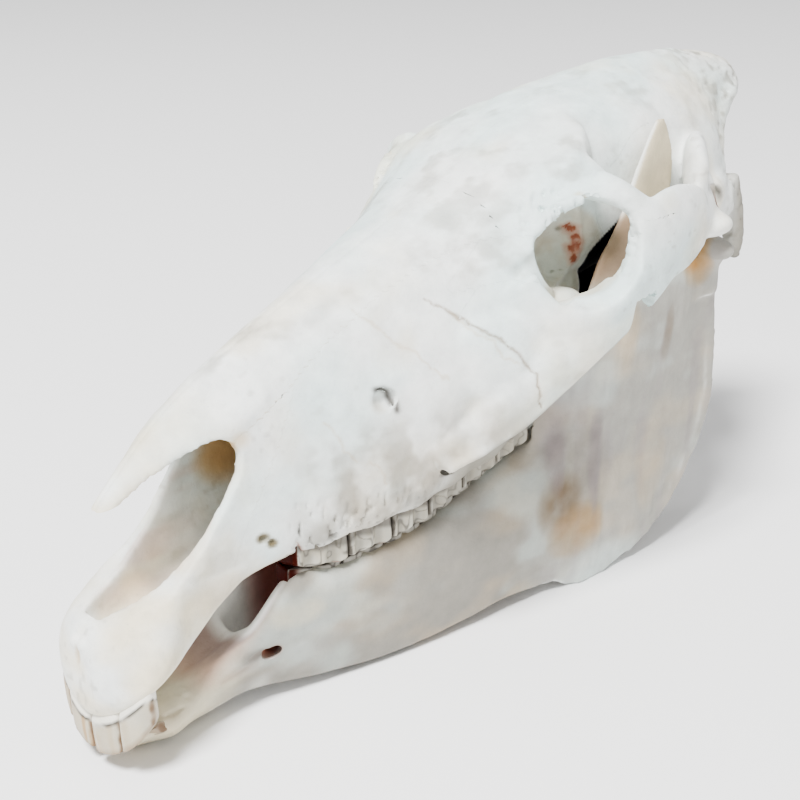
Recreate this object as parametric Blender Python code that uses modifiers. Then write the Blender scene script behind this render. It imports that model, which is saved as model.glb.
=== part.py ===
# Skull of a plains zebra with its lower jaw closed, as a museum shows it: cleaned, bleached bone that
# rests on its own chin and jaw angles. The nose points to -Y, the animal's left side is +X, +Z is up.
# Each bone is a node of its own. The whole cranium and the whole lower jaw are modelled first, and
# then parted along the sutures by thin cuts.

import math

import bmesh
import bpy
import numpy as np
from mathutils import Matrix, Vector

# Driving dimensions
SKULL_LENGTH = 0.530  # m, from the front of the upper jaw to the middle of the nuchal crest
DRAWN_LENGTH = 551.0  # the same length on the drawing below, in drawing units
UNIT = SKULL_LENGTH / DRAWN_LENGTH  # m for each drawing unit
MIDDLE = 245.8  # drawing units from the front teeth back to the middle of the whole skull
LIFT = 2.4  # drawing units from the drawing's zero level down to the floor
GAP = 0.0003 / UNIT  # the gap that two bones keep at a suture

CRANIUM_VOXEL = 2.0  # the grain of the soft forms before they are made faceted
JAW_VOXEL = 2.0
CRANIUM_TRIANGLES = 5200
JAW_TRIANGLES = 2300
RING = 40  # points round a lofted section
STEPS = 8  # sections between two named ones

CRANIUM_BONE = (0.86, 0.85, 0.80)
JAW_BONE = (0.78, 0.76, 0.70)
BONE_ROUGHNESS = 0.62


def clear_scene():
    for thing in list(bpy.data.objects):
        bpy.data.objects.remove(thing, do_unlink=True)


def collection(name):
    made = bpy.data.collections.new(name)
    bpy.context.scene.collection.children.link(made)
    return made


def hermite(stations, values, at):
    """A smooth curve through the values at the stations, read at one or more places."""
    xs = np.asarray(stations, float)
    ys = np.asarray(values, float).reshape(len(xs), -1)
    slopes = np.gradient(ys, xs, axis=0)
    at = np.clip(np.atleast_1d(np.asarray(at, float)), xs[0], xs[-1])
    i = np.clip(np.searchsorted(xs, at, side="right") - 1, 0, len(xs) - 2)
    h = (xs[i + 1] - xs[i])[:, None]
    t = ((at - xs[i])[:, None]) / h
    return (
        (2 * t**3 - 3 * t**2 + 1) * ys[i]
        + (t**3 - 2 * t**2 + t) * h * slopes[i]
        + (3 * t**2 - 2 * t**3) * ys[i + 1]
        + (t**3 - t**2) * h * slopes[i + 1]
    )


def closed_curve(points, count):
    """A smooth closed curve through the points, as count points evenly spaced along it."""
    points = np.asarray(points, float)
    loop = np.vstack([points[-2:], points, points[:3]])
    fine = hermite(np.arange(len(loop)), loop, np.linspace(2, len(points) + 2, 20 * count + 1))
    run = np.r_[0, np.cumsum(np.linalg.norm(np.diff(fine, axis=0), axis=1))]
    even = np.linspace(0, run[-1], count + 1)[:-1]
    return np.stack([np.interp(even, run, fine[:, k]) for k in range(fine.shape[1])], 1)


def mesh_object(name, points, faces, home):
    mesh = bpy.data.meshes.new(name)
    mesh.from_pydata([tuple(p) for p in points], [], faces)
    work = bmesh.new()
    work.from_mesh(mesh)
    bmesh.ops.remove_doubles(work, verts=work.verts, dist=0.0001)
    bmesh.ops.recalc_face_normals(work, faces=work.faces)
    work.to_mesh(mesh)
    work.free()
    made = bpy.data.objects.new(name, mesh)
    home.objects.link(made)
    return made


def loft(name, rings, home):
    """A closed skin over rings of equal length, with a fan at each end."""
    rings = np.asarray(rings, float)
    count, size = rings.shape[:2]
    points = [tuple(p) for ring in rings for p in ring]
    faces = []
    for a in range(count - 1):
        for b in range(size):
            c = (b + 1) % size
            faces.append((a * size + b, a * size + c, (a + 1) * size + c, (a + 1) * size + b))
    for ring, flip in ((0, False), (count - 1, True)):
        points.append(tuple(rings[ring].mean(0)))
        centre = len(points) - 1
        for b in range(size):
            c = (b + 1) % size
            edge = (ring * size + c, ring * size + b)
            faces.append((*edge[::-1], centre) if flip else (*edge, centre))
    return mesh_object(name, points, faces, home)


def section_loft(name, sections, home, steps=STEPS):
    """A loft along Y. A section is its y, then the (x, z) points of its left half from the top of
    the middle plane to the bottom of it."""
    ys = [s[0] for s in sections]
    halves = np.array([s[1] for s in sections], float)
    at = np.unique(np.concatenate([np.linspace(a, b, steps + 1) for a, b in zip(ys, ys[1:])]))
    flat = hermite(ys, halves.reshape(len(ys), -1), at).reshape(len(at), -1, 2)
    rings = []
    for y, half in zip(at, flat):
        other = half[-2:0:-1] * (-1, 1)
        ring = closed_curve(np.vstack([half, other]), RING)
        rings.append([(x, y, z) for x, z in ring])
    return loft(name, rings, home)


def side_loft(name, sections, home, axis=1, steps=STEPS):
    """A loft of one side's solid along Y (axis 1) or Z (axis 2), from closed sections."""
    along = [s[0] for s in sections]
    shapes = np.array([s[1] for s in sections], float)
    at = np.unique(np.concatenate([np.linspace(a, b, steps + 1) for a, b in zip(along, along[1:])]))
    flat = hermite(along, shapes.reshape(len(along), -1), at).reshape(len(at), -1, 2)
    rings = []
    for place, shape in zip(at, flat):
        ring = closed_curve(shape, RING // 2)
        if axis == 1:
            rings.append([(x, place, z) for x, z in ring])
        else:
            rings.append([(x, y, place) for x, y in ring])
    return loft(name, rings, home)


def sweep(name, path, home, up=(0, 0, 1), steps=6, sides=16):
    """A bent bar of oval section. A path point is x, y, z, half its width, half its height."""
    path = np.asarray(path, float)
    fine = hermite(np.arange(len(path)), path, np.linspace(0, len(path) - 1, steps * (len(path) - 1) + 1))
    along = np.gradient(fine[:, :3], axis=0)
    rings = []
    for point, way in zip(fine, along):
        way = way / np.linalg.norm(way)
        across = np.cross(way, up)
        across /= np.linalg.norm(across)
        rise = np.cross(across, way)
        turn = np.linspace(0, 2 * math.pi, sides, endpoint=False)
        wide = np.outer(np.cos(turn) * point[3], across)
        high = np.outer(np.sin(turn) * point[4], rise)
        rings.append(point[:3] + wide + high)
    return loft(name, rings, home)


def ball(name, centre, radii, home, turn=(0, 0, 0)):
    """An ellipsoid, from a UV sphere primitive."""
    mesh = bpy.data.meshes.new(name)
    work = bmesh.new()
    bmesh.ops.create_uvsphere(work, u_segments=24, v_segments=14, radius=1.0)
    size = Matrix.Diagonal((*radii, 1.0))
    spin = Matrix.Rotation(math.radians(turn[2]), 4, "Z") @ Matrix.Rotation(math.radians(turn[1]), 4, "Y")
    spin = spin @ Matrix.Rotation(math.radians(turn[0]), 4, "X")
    bmesh.ops.transform(work, matrix=Matrix.Translation(centre) @ spin @ size, verts=work.verts)
    work.to_mesh(mesh)
    work.free()
    made = bpy.data.objects.new(name, mesh)
    home.objects.link(made)
    return made


def prism(name, outline, home, low=-150.0, high=150.0, axis="X"):
    """A flat outline with straight sides. Along X its points are (y, z), along Z they are (x, y)."""
    curve = bpy.data.curves.new(name, "CURVE")
    curve.dimensions = "2D"
    curve.fill_mode = "BOTH"
    curve.extrude = (high - low) / 2
    line = curve.splines.new("POLY")
    line.points.add(len(outline) - 1)
    for place, point in zip(line.points, outline):
        place.co = (*point, 0, 1)
    line.use_cyclic_u = True
    flat = bpy.data.objects.new(name + "_outline", curve)
    home.objects.link(flat)
    if axis == "X":
        frame = Matrix(((0, 0, 1, (low + high) / 2), (1, 0, 0, 0), (0, 1, 0, 0), (0, 0, 0, 1)))
    else:
        frame = Matrix.Translation((0, 0, (low + high) / 2))
    flat.matrix_world = frame
    bpy.context.view_layer.update()
    evaluated = flat.evaluated_get(bpy.context.evaluated_depsgraph_get())
    mesh = bpy.data.meshes.new_from_object(evaluated)
    mesh.transform(frame)
    bpy.data.objects.remove(flat, do_unlink=True)
    work = bmesh.new()
    work.from_mesh(mesh)
    bmesh.ops.remove_doubles(work, verts=work.verts, dist=0.0001)
    bmesh.ops.triangulate(work, faces=work.faces)
    bmesh.ops.recalc_face_normals(work, faces=work.faces)
    work.to_mesh(mesh)
    work.free()
    made = bpy.data.objects.new(name, mesh)
    home.objects.link(made)
    return made


def mirrored(source, home):
    """The right side's copy of a left side's form."""
    mesh = source.data.copy()
    mesh.transform(Matrix.Scale(-1, 4, (1, 0, 0)))
    mesh.flip_normals()
    made = bpy.data.objects.new(source.name + "_right", mesh)
    home.objects.link(made)
    return made


def both(source, home):
    return [source, mirrored(source, home)]


def bake(thing):
    """Applies a thing's modifiers."""
    bpy.context.view_layer.update()
    evaluated = thing.evaluated_get(bpy.context.evaluated_depsgraph_get())
    mesh = bpy.data.meshes.new_from_object(evaluated)
    old = thing.data
    thing.modifiers.clear()
    thing.data = mesh
    bpy.data.meshes.remove(old)
    return thing


def joined(name, pieces, home):
    """Closed forms in one mesh, still crossing one another."""
    work = bmesh.new()
    for piece in pieces:
        work.from_mesh(piece.data)
    mesh = bpy.data.meshes.new(name)
    work.to_mesh(mesh)
    work.free()
    for piece in pieces:
        bpy.data.objects.remove(piece, do_unlink=True)
    made = bpy.data.objects.new(name, mesh)
    home.objects.link(made)
    return made


def soften(thing, voxel, rounds, factor=0.5):
    """Melts crossing forms into one skin, and rounds their joins."""
    melt = thing.modifiers.new("melt", "REMESH")
    melt.mode = "VOXEL"
    melt.voxel_size = voxel
    bake(thing)
    if rounds:
        smooth = thing.modifiers.new("smooth", "SMOOTH")
        smooth.iterations = rounds
        smooth.factor = factor
        bake(thing)
    return thing


def carve(thing, cutters, solver="MANIFOLD"):
    for cutter in cutters:
        cut = thing.modifiers.new("cut", "BOOLEAN")
        cut.operation = "DIFFERENCE"
        cut.solver = solver
        cut.object = cutter
        cutter.hide_render = True
        cutter.display_type = "WIRE"
        bake(thing)
    for cutter in cutters:
        bpy.data.objects.remove(cutter, do_unlink=True)
    return thing


def thin_out(thing, triangles):
    """Makes a fine skin faceted, alike on both sides of the middle plane."""
    thing.data.calc_loop_triangles()
    part = thing.modifiers.new("thin", "DECIMATE")
    part.ratio = triangles / len(thing.data.loop_triangles)
    part.use_collapse_triangulate = True
    return bake(thing)


def even_sides(thing):
    mirror = thing.modifiers.new("mirror", "MIRROR")
    mirror.use_bisect_axis[0] = True
    mirror.use_bisect_flip_axis[0] = False
    mirror.merge_threshold = 0.0001
    mirror.use_clip = True
    bake(thing)
    keep_largest(thing)
    return thing


def keep_largest(thing):
    """Keeps a mesh's largest closed surface and drops loose scraps."""
    work = bmesh.new()
    work.from_mesh(thing.data)
    bmesh.ops.dissolve_degenerate(work, dist=0.00001, edges=work.edges)
    bmesh.ops.triangulate(work, faces=work.faces)
    unseen = set(work.faces)
    shells = []
    while unseen:
        seed = unseen.pop()
        shell, edge = [seed], [seed]
        while edge:
            face = edge.pop()
            for rim in face.edges:
                for near in rim.link_faces:
                    if near in unseen:
                        unseen.remove(near)
                        shell.append(near)
                        edge.append(near)
        shells.append(shell)
    shells.sort(key=lambda shell: sum(f.calc_area() for f in shell))
    for shell in shells[:-1]:
        bmesh.ops.delete(work, geom=shell, context="FACES")
    loose = [v for v in work.verts if not v.link_faces]
    bmesh.ops.delete(work, geom=loose, context="VERTS")
    work.to_mesh(thing.data)
    work.free()
    return thing


def fuse(thing, pieces, home):
    """Joins closed pieces to a node by one union on their collection."""
    group = bpy.data.collections.new(thing.name + "_pieces")
    bpy.context.scene.collection.children.link(group)
    for piece in pieces:
        home.objects.unlink(piece)
        group.objects.link(piece)
    join = thing.modifiers.new("join", "BOOLEAN")
    join.operation = "UNION"
    join.solver = "MANIFOLD"
    join.operand_type = "COLLECTION"
    join.collection = group
    bake(thing)
    for piece in pieces:
        bpy.data.objects.remove(piece, do_unlink=True)
    bpy.data.collections.remove(group)
    return keep_largest(thing)


# Cranium: the levels of its middle line, and the sections of its lofts

FACE = (
    # y, then (x, z) of the roof's middle, shoulder, upper side, side, lower side, jaw edge, palate
    (56, ((0, 167), (10, 161), (19, 151), (23.5, 120), (22.5, 88), (19, 67), (0, 63))),
    (80, ((0, 180), (12.5, 172), (23, 159), (26, 130), (26, 100), (24, 78), (0, 73))),
    (100, ((0, 188.5), (14.5, 181), (26, 166), (31, 136), (32, 106), (28, 82), (0, 78))),
    (122, ((0, 198), (16.5, 190), (29, 173), (38, 143), (40, 112), (34, 84), (0, 82))),
    (150, ((0, 209), (19.5, 201), (34, 184), (45, 152), (49, 118), (39, 86), (0, 87))),
    (180, ((0, 220.5), (23, 213), (39, 195), (52, 162), (55, 122), (43, 89), (0, 92))),
    (210, ((0, 232.5), (28, 225), (46, 204), (60, 172), (57, 132), (46, 96), (0, 99))),
    (236, ((0, 245), (35, 237.5), (55, 214), (64, 184), (59, 142), (48, 104), (0, 108))),
    (262, ((0, 257), (42, 251), (61, 236.5), (60, 194), (52, 156), (40, 120), (0, 118))),
    (284, ((0, 267), (42, 260.5), (56, 250), (47, 205), (40, 172), (30, 142), (0, 138))),
    (305, ((0, 274), (34, 269.5), (46, 253), (44, 215), (36, 185), (24, 165), (0, 158))),
)
BRAINCASE = (
    (285, ((0, 267), (30, 263), (40, 246), (42, 215), (36, 190), (24, 172), (0, 166))),
    (312, ((0, 276.5), (28, 272), (45, 254), (50, 222), (44, 196), (26, 176), (0, 170))),
    (342, ((0, 282), (20, 279), (43, 264), (54.5, 233), (51, 203), (28, 182), (0, 176))),
    (372, ((0, 288), (14, 284.5), (41, 267), (57, 237), (53, 207), (30, 187), (0, 181))),
    (402, ((0, 289.5), (10, 286), (36, 269), (53, 241), (53, 212), (34, 190), (0, 184))),
    (430, ((0, 289), (9, 285), (28, 269), (43, 243), (47, 214), (34, 190), (0, 186))),
    (454, ((0, 286), (12, 282), (26, 269), (27, 242), (32, 212), (28, 190), (0, 186))),
    (472, ((0, 283), (15, 279), (24, 267), (13, 240), (21, 208), (18, 190), (0, 186))),
    (486, ((0, 279), (10, 277), (15, 267), (10, 256), (7, 251), (4, 249), (0, 248))),
)
NASAL = (
    (9, ((0, 124.5), (3.4, 123), (5.4, 120), (4.4, 117), (0, 117))),
    (13, ((0, 130), (4.0, 128), (6.0, 124), (4.8, 119.5), (0, 119.5))),
    (21, ((0, 138), (4.4, 136), (7.0, 131.5), (5.4, 126), (0, 125.5))),
    (34, ((0, 150), (5.5, 147), (10.5, 140), (8.0, 136), (0, 138))),
    (50, ((0, 163), (8.0, 158), (16.0, 150), (13.0, 145), (0, 148))),
    (72, ((0, 176), (11.5, 169.5), (23.5, 157), (20.0, 150), (0, 156))),
    (95, ((0, 186), (13.5, 179.5), (26.0, 167), (22.0, 158), (0, 164))),
)
PREMAXILLA = (
    (-3.5, ((0, 66), (7, 65), (13, 59), (14, 46), (9, 34), (0, 30))),
    (2, ((0, 75), (8, 75), (17, 70), (25, 53), (21, 36), (0, 25))),
    (9, ((0, 77), (10, 79), (21, 74), (32, 57), (30, 42), (0, 28))),
    (18, ((0, 76), (12, 82), (25, 77), (35, 61), (33, 48), (0, 34))),
    (29, ((0, 76), (14, 86), (27, 83), (33, 68), (29, 50), (0, 40))),
    (42, ((0, 80), (16, 93), (25, 92), (27, 75), (24, 54), (0, 50))),
    (62, ((0, 95), (18, 112), (24, 111), (24.5, 92), (23, 68), (0, 63))),
    (80, ((0, 110), (18, 128), (24, 126), (26, 104), (24, 80), (0, 73))),
)
ARCH = (
    # x, y, z of its middle, half its thickness, half its height
    (55, 176, 118, 5, 6),
    (61, 200, 126, 7, 10),
    (68, 228, 144, 9, 16),
    (78, 254, 165, 9, 18),
    (87, 282, 189, 8, 21),
    (91, 308, 213, 7.5, 26),
    (88, 336, 216, 7, 22),
    (79, 362, 213, 7, 15),
    (66, 384, 215, 8, 13),
    (48, 398, 222, 9, 18),
)
CREST_EDGE = (
    # the sharp lower edge of the facial crest and the cheek arch
    (61, 180, 114, 3.0, 2.6),
    (66, 200, 119.5, 3.4, 3.0),
    (73, 228, 131.5, 3.8, 3.4),
    (80, 254, 150.5, 3.8, 3.6),
    (88, 282, 171.5, 3.6, 3.6),
    (93, 308, 190.5, 3.4, 3.6),
    (91, 334, 196.5, 3.2, 3.4),
    (82, 360, 200.5, 3.0, 3.0),
)
UNDER_CREST = (
    # the hollow that runs under the crest
    (57, 182, 104, 2.5, 3),
    (61, 198, 107, 4, 4),
    (65, 216, 113, 4.5, 4.5),
    (69, 236, 124, 4, 4),
)
BROW = (
    # y, then (x, z) of the shelf over the socket: inner top, outer top, rim, outer foot, inner foot
    (228, ((34, 234), (50, 216), (57, 208), (52, 203), (40, 208), (30, 222))),
    (244, ((36, 241), (56, 226), (63, 218), (57, 213), (42, 218), (32, 232))),
    (260, ((38, 249), (62, 238), (70, 231), (63, 226), (44, 230), (34, 241))),
    (274, ((40, 255), (68, 244.5), (77, 238), (69, 232), (46, 236), (36, 246))),
    (286, ((40, 259), (70, 246), (80, 240), (72, 235), (46, 241), (36, 250))),
    (295, ((42, 260), (58, 252), (66, 246), (58, 242), (46, 246), (40, 252))),
)
POSTORBITAL = (
    # the bar behind the socket, from the roof down to the cheek arch
    (66, 282, 245, 7, 6),
    (76, 286, 241, 7, 6.5),
    (85, 291, 235, 7, 7),
    (91, 298, 227, 8, 7),
    (92, 306, 216, 9, 7),
)
SOCKET_FLOOR = (
    # the socket's lower rim, from the tear bone back to the cheek arch
    (59, 231, 200, 6, 12),
    (66, 236, 187, 7, 12),
    (76, 246, 179, 7, 10),
    (84, 260, 180, 6, 10),
    (90, 276, 190, 6, 11),
    (93, 290, 204, 6, 12),
)
SOCKET_SHELF = (
    # the ledge inside the lower rim
    (54, 236, 188, 8, 9),
    (65, 252, 178, 9, 9),
    (74, 268, 180, 9, 9),
    (81, 285, 194, 8, 9),
)
ORBIT_CENTRE = (80, 262, 213)
ORBIT_AXIS = (0.80, -0.50, 0.33)  # out of the socket
ORBIT_RADII = (29.5, 29.5, 25.5, 24.5, 21, 9)
ORBIT_DEPTHS = (-30, 0, 9, 22, 42, 60)
ORBIT_LIFTS = (0, 0, 3.5, 5, 4, 0)  # the socket's floor stands higher inside than its rim
INFRAORBITAL = (46, 151, 155.5)  # the mouths of the larger foramina
EAR_OPENING = (59, 403, 212)
MENTAL = (22, 92, 29)
APERTURE = (
    # (y, z) round the nose opening, seen from the side
    (-30, 116), (10, 118), (20, 126), (34, 137.5), (48, 146.5), (60, 152), (69, 153), (76, 149),
    (79, 142), (77, 133), (69, 121), (56, 104), (45, 94.5), (34, 87), (21, 82), (8, 80), (-30, 84),
)
NASAL_CAVITY = (
    (6, ((0, 117), (4, 116), (6, 104), (6.5, 78), (0, 72))),
    (22, ((0, 131), (8, 127), (12, 106), (9, 73), (0, 65))),
    (42, ((0, 148), (11, 143), (17, 112), (12, 77), (0, 67))),
    (66, ((0, 166), (12, 158), (19, 120), (14, 86), (0, 77))),
    (95, ((0, 178), (15, 168), (22, 130), (17, 98), (0, 92))),
    (130, ((0, 190), (16, 182), (26, 145), (20, 112), (0, 104))),
    (170, ((0, 203), (15, 196), (27, 160), (20, 130), (0, 122))),
    (200, ((0, 200), (8, 195), (12, 172), (9, 150), (0, 145))),
)
PALATE_VAULT = (
    (96, ((0, 84), (6, 82), (9, 76), (7, 66), (0, 60))),
    (120, ((0, 92), (12, 88), (17, 78), (14, 62), (0, 55))),
    (180, ((0, 101), (14, 97), (20, 86), (16, 66), (0, 58))),
    (232, ((0, 112), (14, 108), (21, 96), (16, 76), (0, 66))),
    (262, ((0, 150), (14, 142), (19, 120), (15, 92), (0, 80))),
    (300, ((0, 156), (11, 150), (14, 130), (11, 104), (0, 92))),
)


def cranium(home):
    forms = [
        section_loft("face", FACE, home),
        section_loft("braincase", BRAINCASE, home),
        section_loft("nasal", NASAL, home),
        section_loft("premaxilla", PREMAXILLA, home),
        sweep("nuchal_bar", ((-27, 461, 262, 6, 6), (-16, 477, 265, 7, 7), (0, 487, 267, 9, 9),
                             (16, 477, 265, 7, 7), (27, 461, 262, 6, 6)), home),
        sweep("basis", ((0, 470, 188, 17, 9), (0, 430, 180, 16, 10), (0, 380, 174, 14, 10),
                        (0, 330, 166, 12, 12), (0, 290, 156, 12, 14)), home),
        ball("occiput", (0, 458, 226), (27, 17, 42), home),
    ]
    for side in (
        sweep("arch", ARCH, home),
        sweep("crest_edge", CREST_EDGE, home),
        sweep("postorbital", POSTORBITAL, home, up=ORBIT_AXIS),
        sweep("socket_floor", SOCKET_FLOOR, home),
        sweep("socket_shelf", SOCKET_SHELF, home),
        side_loft("brow", BROW, home),
        ball("cheek", (62, 222, 158), (10, 34, 26), home, turn=(-38, 0, -22)),
        sweep("fin", ((77, 360, 220, 6, 10), (72.5, 365, 233, 6.5, 14), (67.5, 370, 242.5, 6.5, 15),
                      (59, 383, 240, 6.5, 14), (48, 400, 232, 7, 15)), home),
        ball("dome", (23, 352, 240), (33, 44, 36), home),
        sweep("side_crest", ((26, 462, 261, 5, 6), (29, 447, 245, 6, 7), (34, 438, 228, 8, 8),
                             (45, 424, 216, 9, 10), (57, 405, 212, 7, 12)), home),
        ball("mastoid", (43, 426, 204), (12, 21, 17), home),
        sweep("paracondylar", ((38, 446, 214, 9, 12), (42, 450, 196, 7, 11), (45, 452, 178, 6, 8),
                               (46, 452, 164, 4, 5)), home, up=(0, 1, 0)),
        ball("condyle", (21, 470, 194), (13, 14, 18), home, turn=(20, 0, 20)),
        ball("glenoid", (72, 376, 206), (20, 15, 8), home, turn=(0, -6, -18)),
        sweep("postglenoid", ((62, 396, 208, 6, 8), (62, 402, 200, 5, 5), (63, 405, 193, 3, 3)), home,
              up=(0, 1, 0)),
        ball("tuber", (37, 256, 128), (10, 19, 18), home),
        sweep("pterygoid", ((14, 262, 132, 4, 10), (15, 288, 142, 4, 16), (15, 316, 154, 4, 17),
                            (14, 345, 163, 5, 15), (12, 375, 174, 6, 9)), home),
    ):
        forms += both(side, home)
    skin = soften(joined("cranium", forms, home), CRANIUM_VOXEL, 5)
    out = Vector(ORBIT_AXIS).normalized()
    across = out.cross(Vector((0, 0, 1))).normalized()
    rise = across.cross(out)
    rings = []
    for depth, radius, lift in zip(ORBIT_DEPTHS, ORBIT_RADII, ORBIT_LIFTS):
        centre = Vector(ORBIT_CENTRE) - out * depth + rise * lift
        ring = []
        for turn in np.linspace(0, 2 * math.pi, 28, endpoint=False):
            ring.append(tuple(centre + across * radius * math.cos(turn) + rise * radius * math.sin(turn)))
        rings.append(ring)
    cutters = [
        prism("aperture", APERTURE, home),
        section_loft("nasal_cavity", NASAL_CAVITY, home),
        section_loft("vault", PALATE_VAULT, home),
        ball("foramen_magnum", (0, 486, 205), (15, 26, 15), home),
    ]
    cutters += both(loft("orbit", rings, home), home)
    cutters += both(sweep("under_crest", UNDER_CREST, home), home)
    cutters += both(ball("infraorbital", INFRAORBITAL, (5.5, 9, 6), home, turn=(-14, 0, 16)), home)
    cutters += both(ball("ear_opening", EAR_OPENING, (7, 6, 7.5), home), home)
    cutters += both(ball("behind_orbit", (66, 303, 216), (14, 21, 29), home, turn=(0, -6, -4)), home)
    carve(skin, cutters)
    soften(skin, CRANIUM_VOXEL, 3)
    thin_out(skin, CRANIUM_TRIANGLES)
    return even_sides(skin)


# Lower jaw: the left half's sections, seen from the front for the body and from above for the ramus

CHIN = (
    (13, ((0, 15), (8, 15), (12, 14), (9, 9.5), (0, 5))),
    (17, ((0, 19), (13, 19), (19, 15), (14, 9.5), (0, 0))),
    (23, ((0, 22), (16, 24), (23, 17), (16, 9.5), (0, -2))),
    (34, ((0, 23), (16, 27), (24, 18), (17, 5.5), (0, -3))),
    (48, ((0, 24), (14, 29), (22, 20), (15, 6.5), (0, -3))),
    (66, ((0, 29), (13, 35), (21, 24), (14, 7), (0, -1))),
    (86, ((0, 36), (14, 42), (22, 28), (16, 9), (0, 3))),
)
JAW_BODY = (
    # y, then (x, z) of the outer top, outer side, outer foot, inner foot, inner side, inner top
    (60, ((16, 33), (21, 24), (15, 8), (3, 5), (1, 16), (5, 30))),
    (86, ((22, 44), (23, 28), (17, 9), (8, 7), (6, 22), (11, 40))),
    (108, ((27.5, 65.5), (27, 34), (23, 7), (13, 7), (12, 28), (15.5, 62))),
    (130, ((33, 63), (33, 38), (28, 5), (18, 5), (17, 30), (18, 61))),
    (160, ((37, 65.5), (38, 40), (34, 3), (23, 3), (21, 32), (21, 63))),
    (190, ((40, 69.5), (43, 42), (39, 4), (28, 4), (25, 34), (24, 67.5))),
    (220, ((43, 80.5), (48, 46), (43, 6), (32, 6), (29, 38), (27, 78.5))),
    (250, ((47, 91), (53, 52), (46, 9), (37, 9), (34, 44), (31, 89))),
    (280, ((53, 104), (57, 60), (49, 7), (42, 7), (40, 50), (38, 102))),
)
RAMUS = (
    # z, then (x, y) of the front edge, outer front, outer back, back edge, inner back, inner front
    (-3, ((49, 296), (53, 304), (55, 320), (52, 330), (48, 320), (47, 304))),
    (6, ((48, 279), (54, 296), (57, 328), (54, 352), (48, 332), (45, 296))),
    (22, ((49, 263), (56, 294), (60, 341), (56, 373), (51, 348), (46, 294))),
    (42, ((50, 256), (58, 296), (61, 358), (58, 391), (53, 360), (48, 296))),
    (64, ((49, 256), (58, 300), (62, 368), (60, 402), (55, 368), (48, 300))),
    (90, ((48, 257), (58, 306), (63, 374), (62, 408), (56, 374), (49, 306))),
    (116, ((47.5, 260), (60, 312), (64, 376), (63, 410), (57, 376), (51, 314))),
    (144, ((53, 273), (63, 316), (66, 376), (65, 406), (59, 376), (54, 322))),
    (168, ((58, 283), (65, 322), (68, 374), (67, 400), (61, 374), (57, 324))),
    (184, ((59, 293), (66, 322), (67, 366), (69, 396), (62, 368), (59, 324))),
)
CORONOID = (
    (150, ((56, 279), (61, 296), (62, 330), (63, 345), (58, 330), (55, 304))),
    (184, ((59, 290), (63, 297), (65, 332), (66, 354), (61, 334), (58, 299))),
    (198, ((59.5, 297), (63.5, 304), (65, 335), (65, 356), (61, 337), (58.5, 306))),
    (212, ((60, 308), (64, 316), (64.5, 339), (63, 359), (60.5, 340), (59, 317))),
    (240, ((60, 324), (63, 329), (63, 345), (61, 360), (60, 346), (59, 329))),
    (254, ((59.5, 333), (62, 336), (62, 347), (60.5, 358), (59, 347), (58.5, 336))),
    (262, ((59, 339), (61.5, 341), (61.5, 347), (60, 353), (58.5, 347), (58, 342))),
    (267, ((59, 343), (60.5, 344), (61, 347), (60.5, 350), (59, 347.5), (58.5, 345))),
)
LEFT_REACH = 1.02  # how far each coronoid rises over its foot, beside the drawn one
RIGHT_REACH = 0.80
CORONOID_FOOT = 212


def lower_jaw(home):
    forms = [section_loft("chin", CHIN, home)]
    for side in (
        side_loft("jaw_body", JAW_BODY, home),
        side_loft("ramus", RAMUS, home, axis=2),
        ball("jaw_condyle", (69, 388, 189), (20, 9, 7.5), home, turn=(0, -4, -14)),
        sweep("neck", ((66, 391, 160, 6, 11), (67, 390, 176, 7, 10), (69, 389, 188, 12, 8)), home,
              up=(0, 1, 0)),
        sweep("angle_rim", ((51, 300, 0, 4, 3), (53, 336, 4, 4, 4), (56, 366, 18, 4.5, 5),
                            (59, 391, 48, 4.5, 5), (62, 404, 84, 4.5, 5), (63, 405, 116, 4, 5),
                            (64.5, 401, 142, 4, 5), (65.5, 396, 164, 3.5, 4)), home),
    ):
        forms += both(side, home)
    for side, reach in ((1, LEFT_REACH), (-1, RIGHT_REACH)):
        blade = []
        for z, ring in CORONOID:
            height = z if z < CORONOID_FOOT else CORONOID_FOOT + (z - CORONOID_FOOT) * reach
            blade.append((height, [(side * x, y) for x, y in ring]))
        forms.append(side_loft("coronoid", blade, home, axis=2))
    skin = soften(joined("lower_jaw", forms, home), JAW_VOXEL, 4)
    carve(skin, both(ball("mental", MENTAL, (6.5, 7, 5), home, turn=(12, 0, 10)), home))
    return thin_out(skin, JAW_TRIANGLES)


# Teeth: their rows on the drawing, and the loops that set them

CHEEK_ENDS = (104, 136, 163, 188, 211, 235, 259)  # y of the joints between the cheek teeth
ROW_Y = (104, 132, 163, 189, 227, 260)
ROW_X = (30, 35, 39.5, 41.5, 45.5, 48)  # the upper row's outer face
ROW_WIDTH = (15, 17, 18, 19, 19, 17)
BITE_Y = (104, 125, 150, 175, 190, 206, 228, 253, 262)
BITE_Z = (73, 69, 70, 72.5, 75.5, 82, 89.5, 97.5, 101)  # where the rows meet
BITE_GAP = 0.6  # half the space between the rows
LOWER_INSET = 5.5  # how far the lower row stands inside the upper one
LOWER_WIDTH = 11.0
CHEEK_RING = (
    # along the tooth and across it from its outer face, as shares of its length and width
    (0.03, 0.06), (0.12, 0.0), (0.30, 0.10), (0.50, 0.01), (0.72, 0.11), (0.94, 0.03),
    (0.97, 0.82), (0.70, 0.97), (0.32, 1.0), (0.03, 0.78),
)
INCISOR_ENDS = (0.4, 20.0, 35.0)  # x of the joints between the upper front teeth
NECK_LINE = ((0, -1, 24), (10, -0.5, 27), (20, 1.5, 32), (29, 5.5, 40), (36.5, 11.5, 49))  # the gum edge
EDGE_LINE = ((0, 0.5, 6.5), (10, 1, 8.5), (20, 2.5, 13), (29, 7, 20.5), (37, 15, 36))  # the biting edge
UPPER_LEAN = (1.0, 0.12)  # the way, in y and z, from a tooth's outer face to its inner one
LOWER_ENDS = (0.4, 8.8, 16.8, 24.0)
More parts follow.
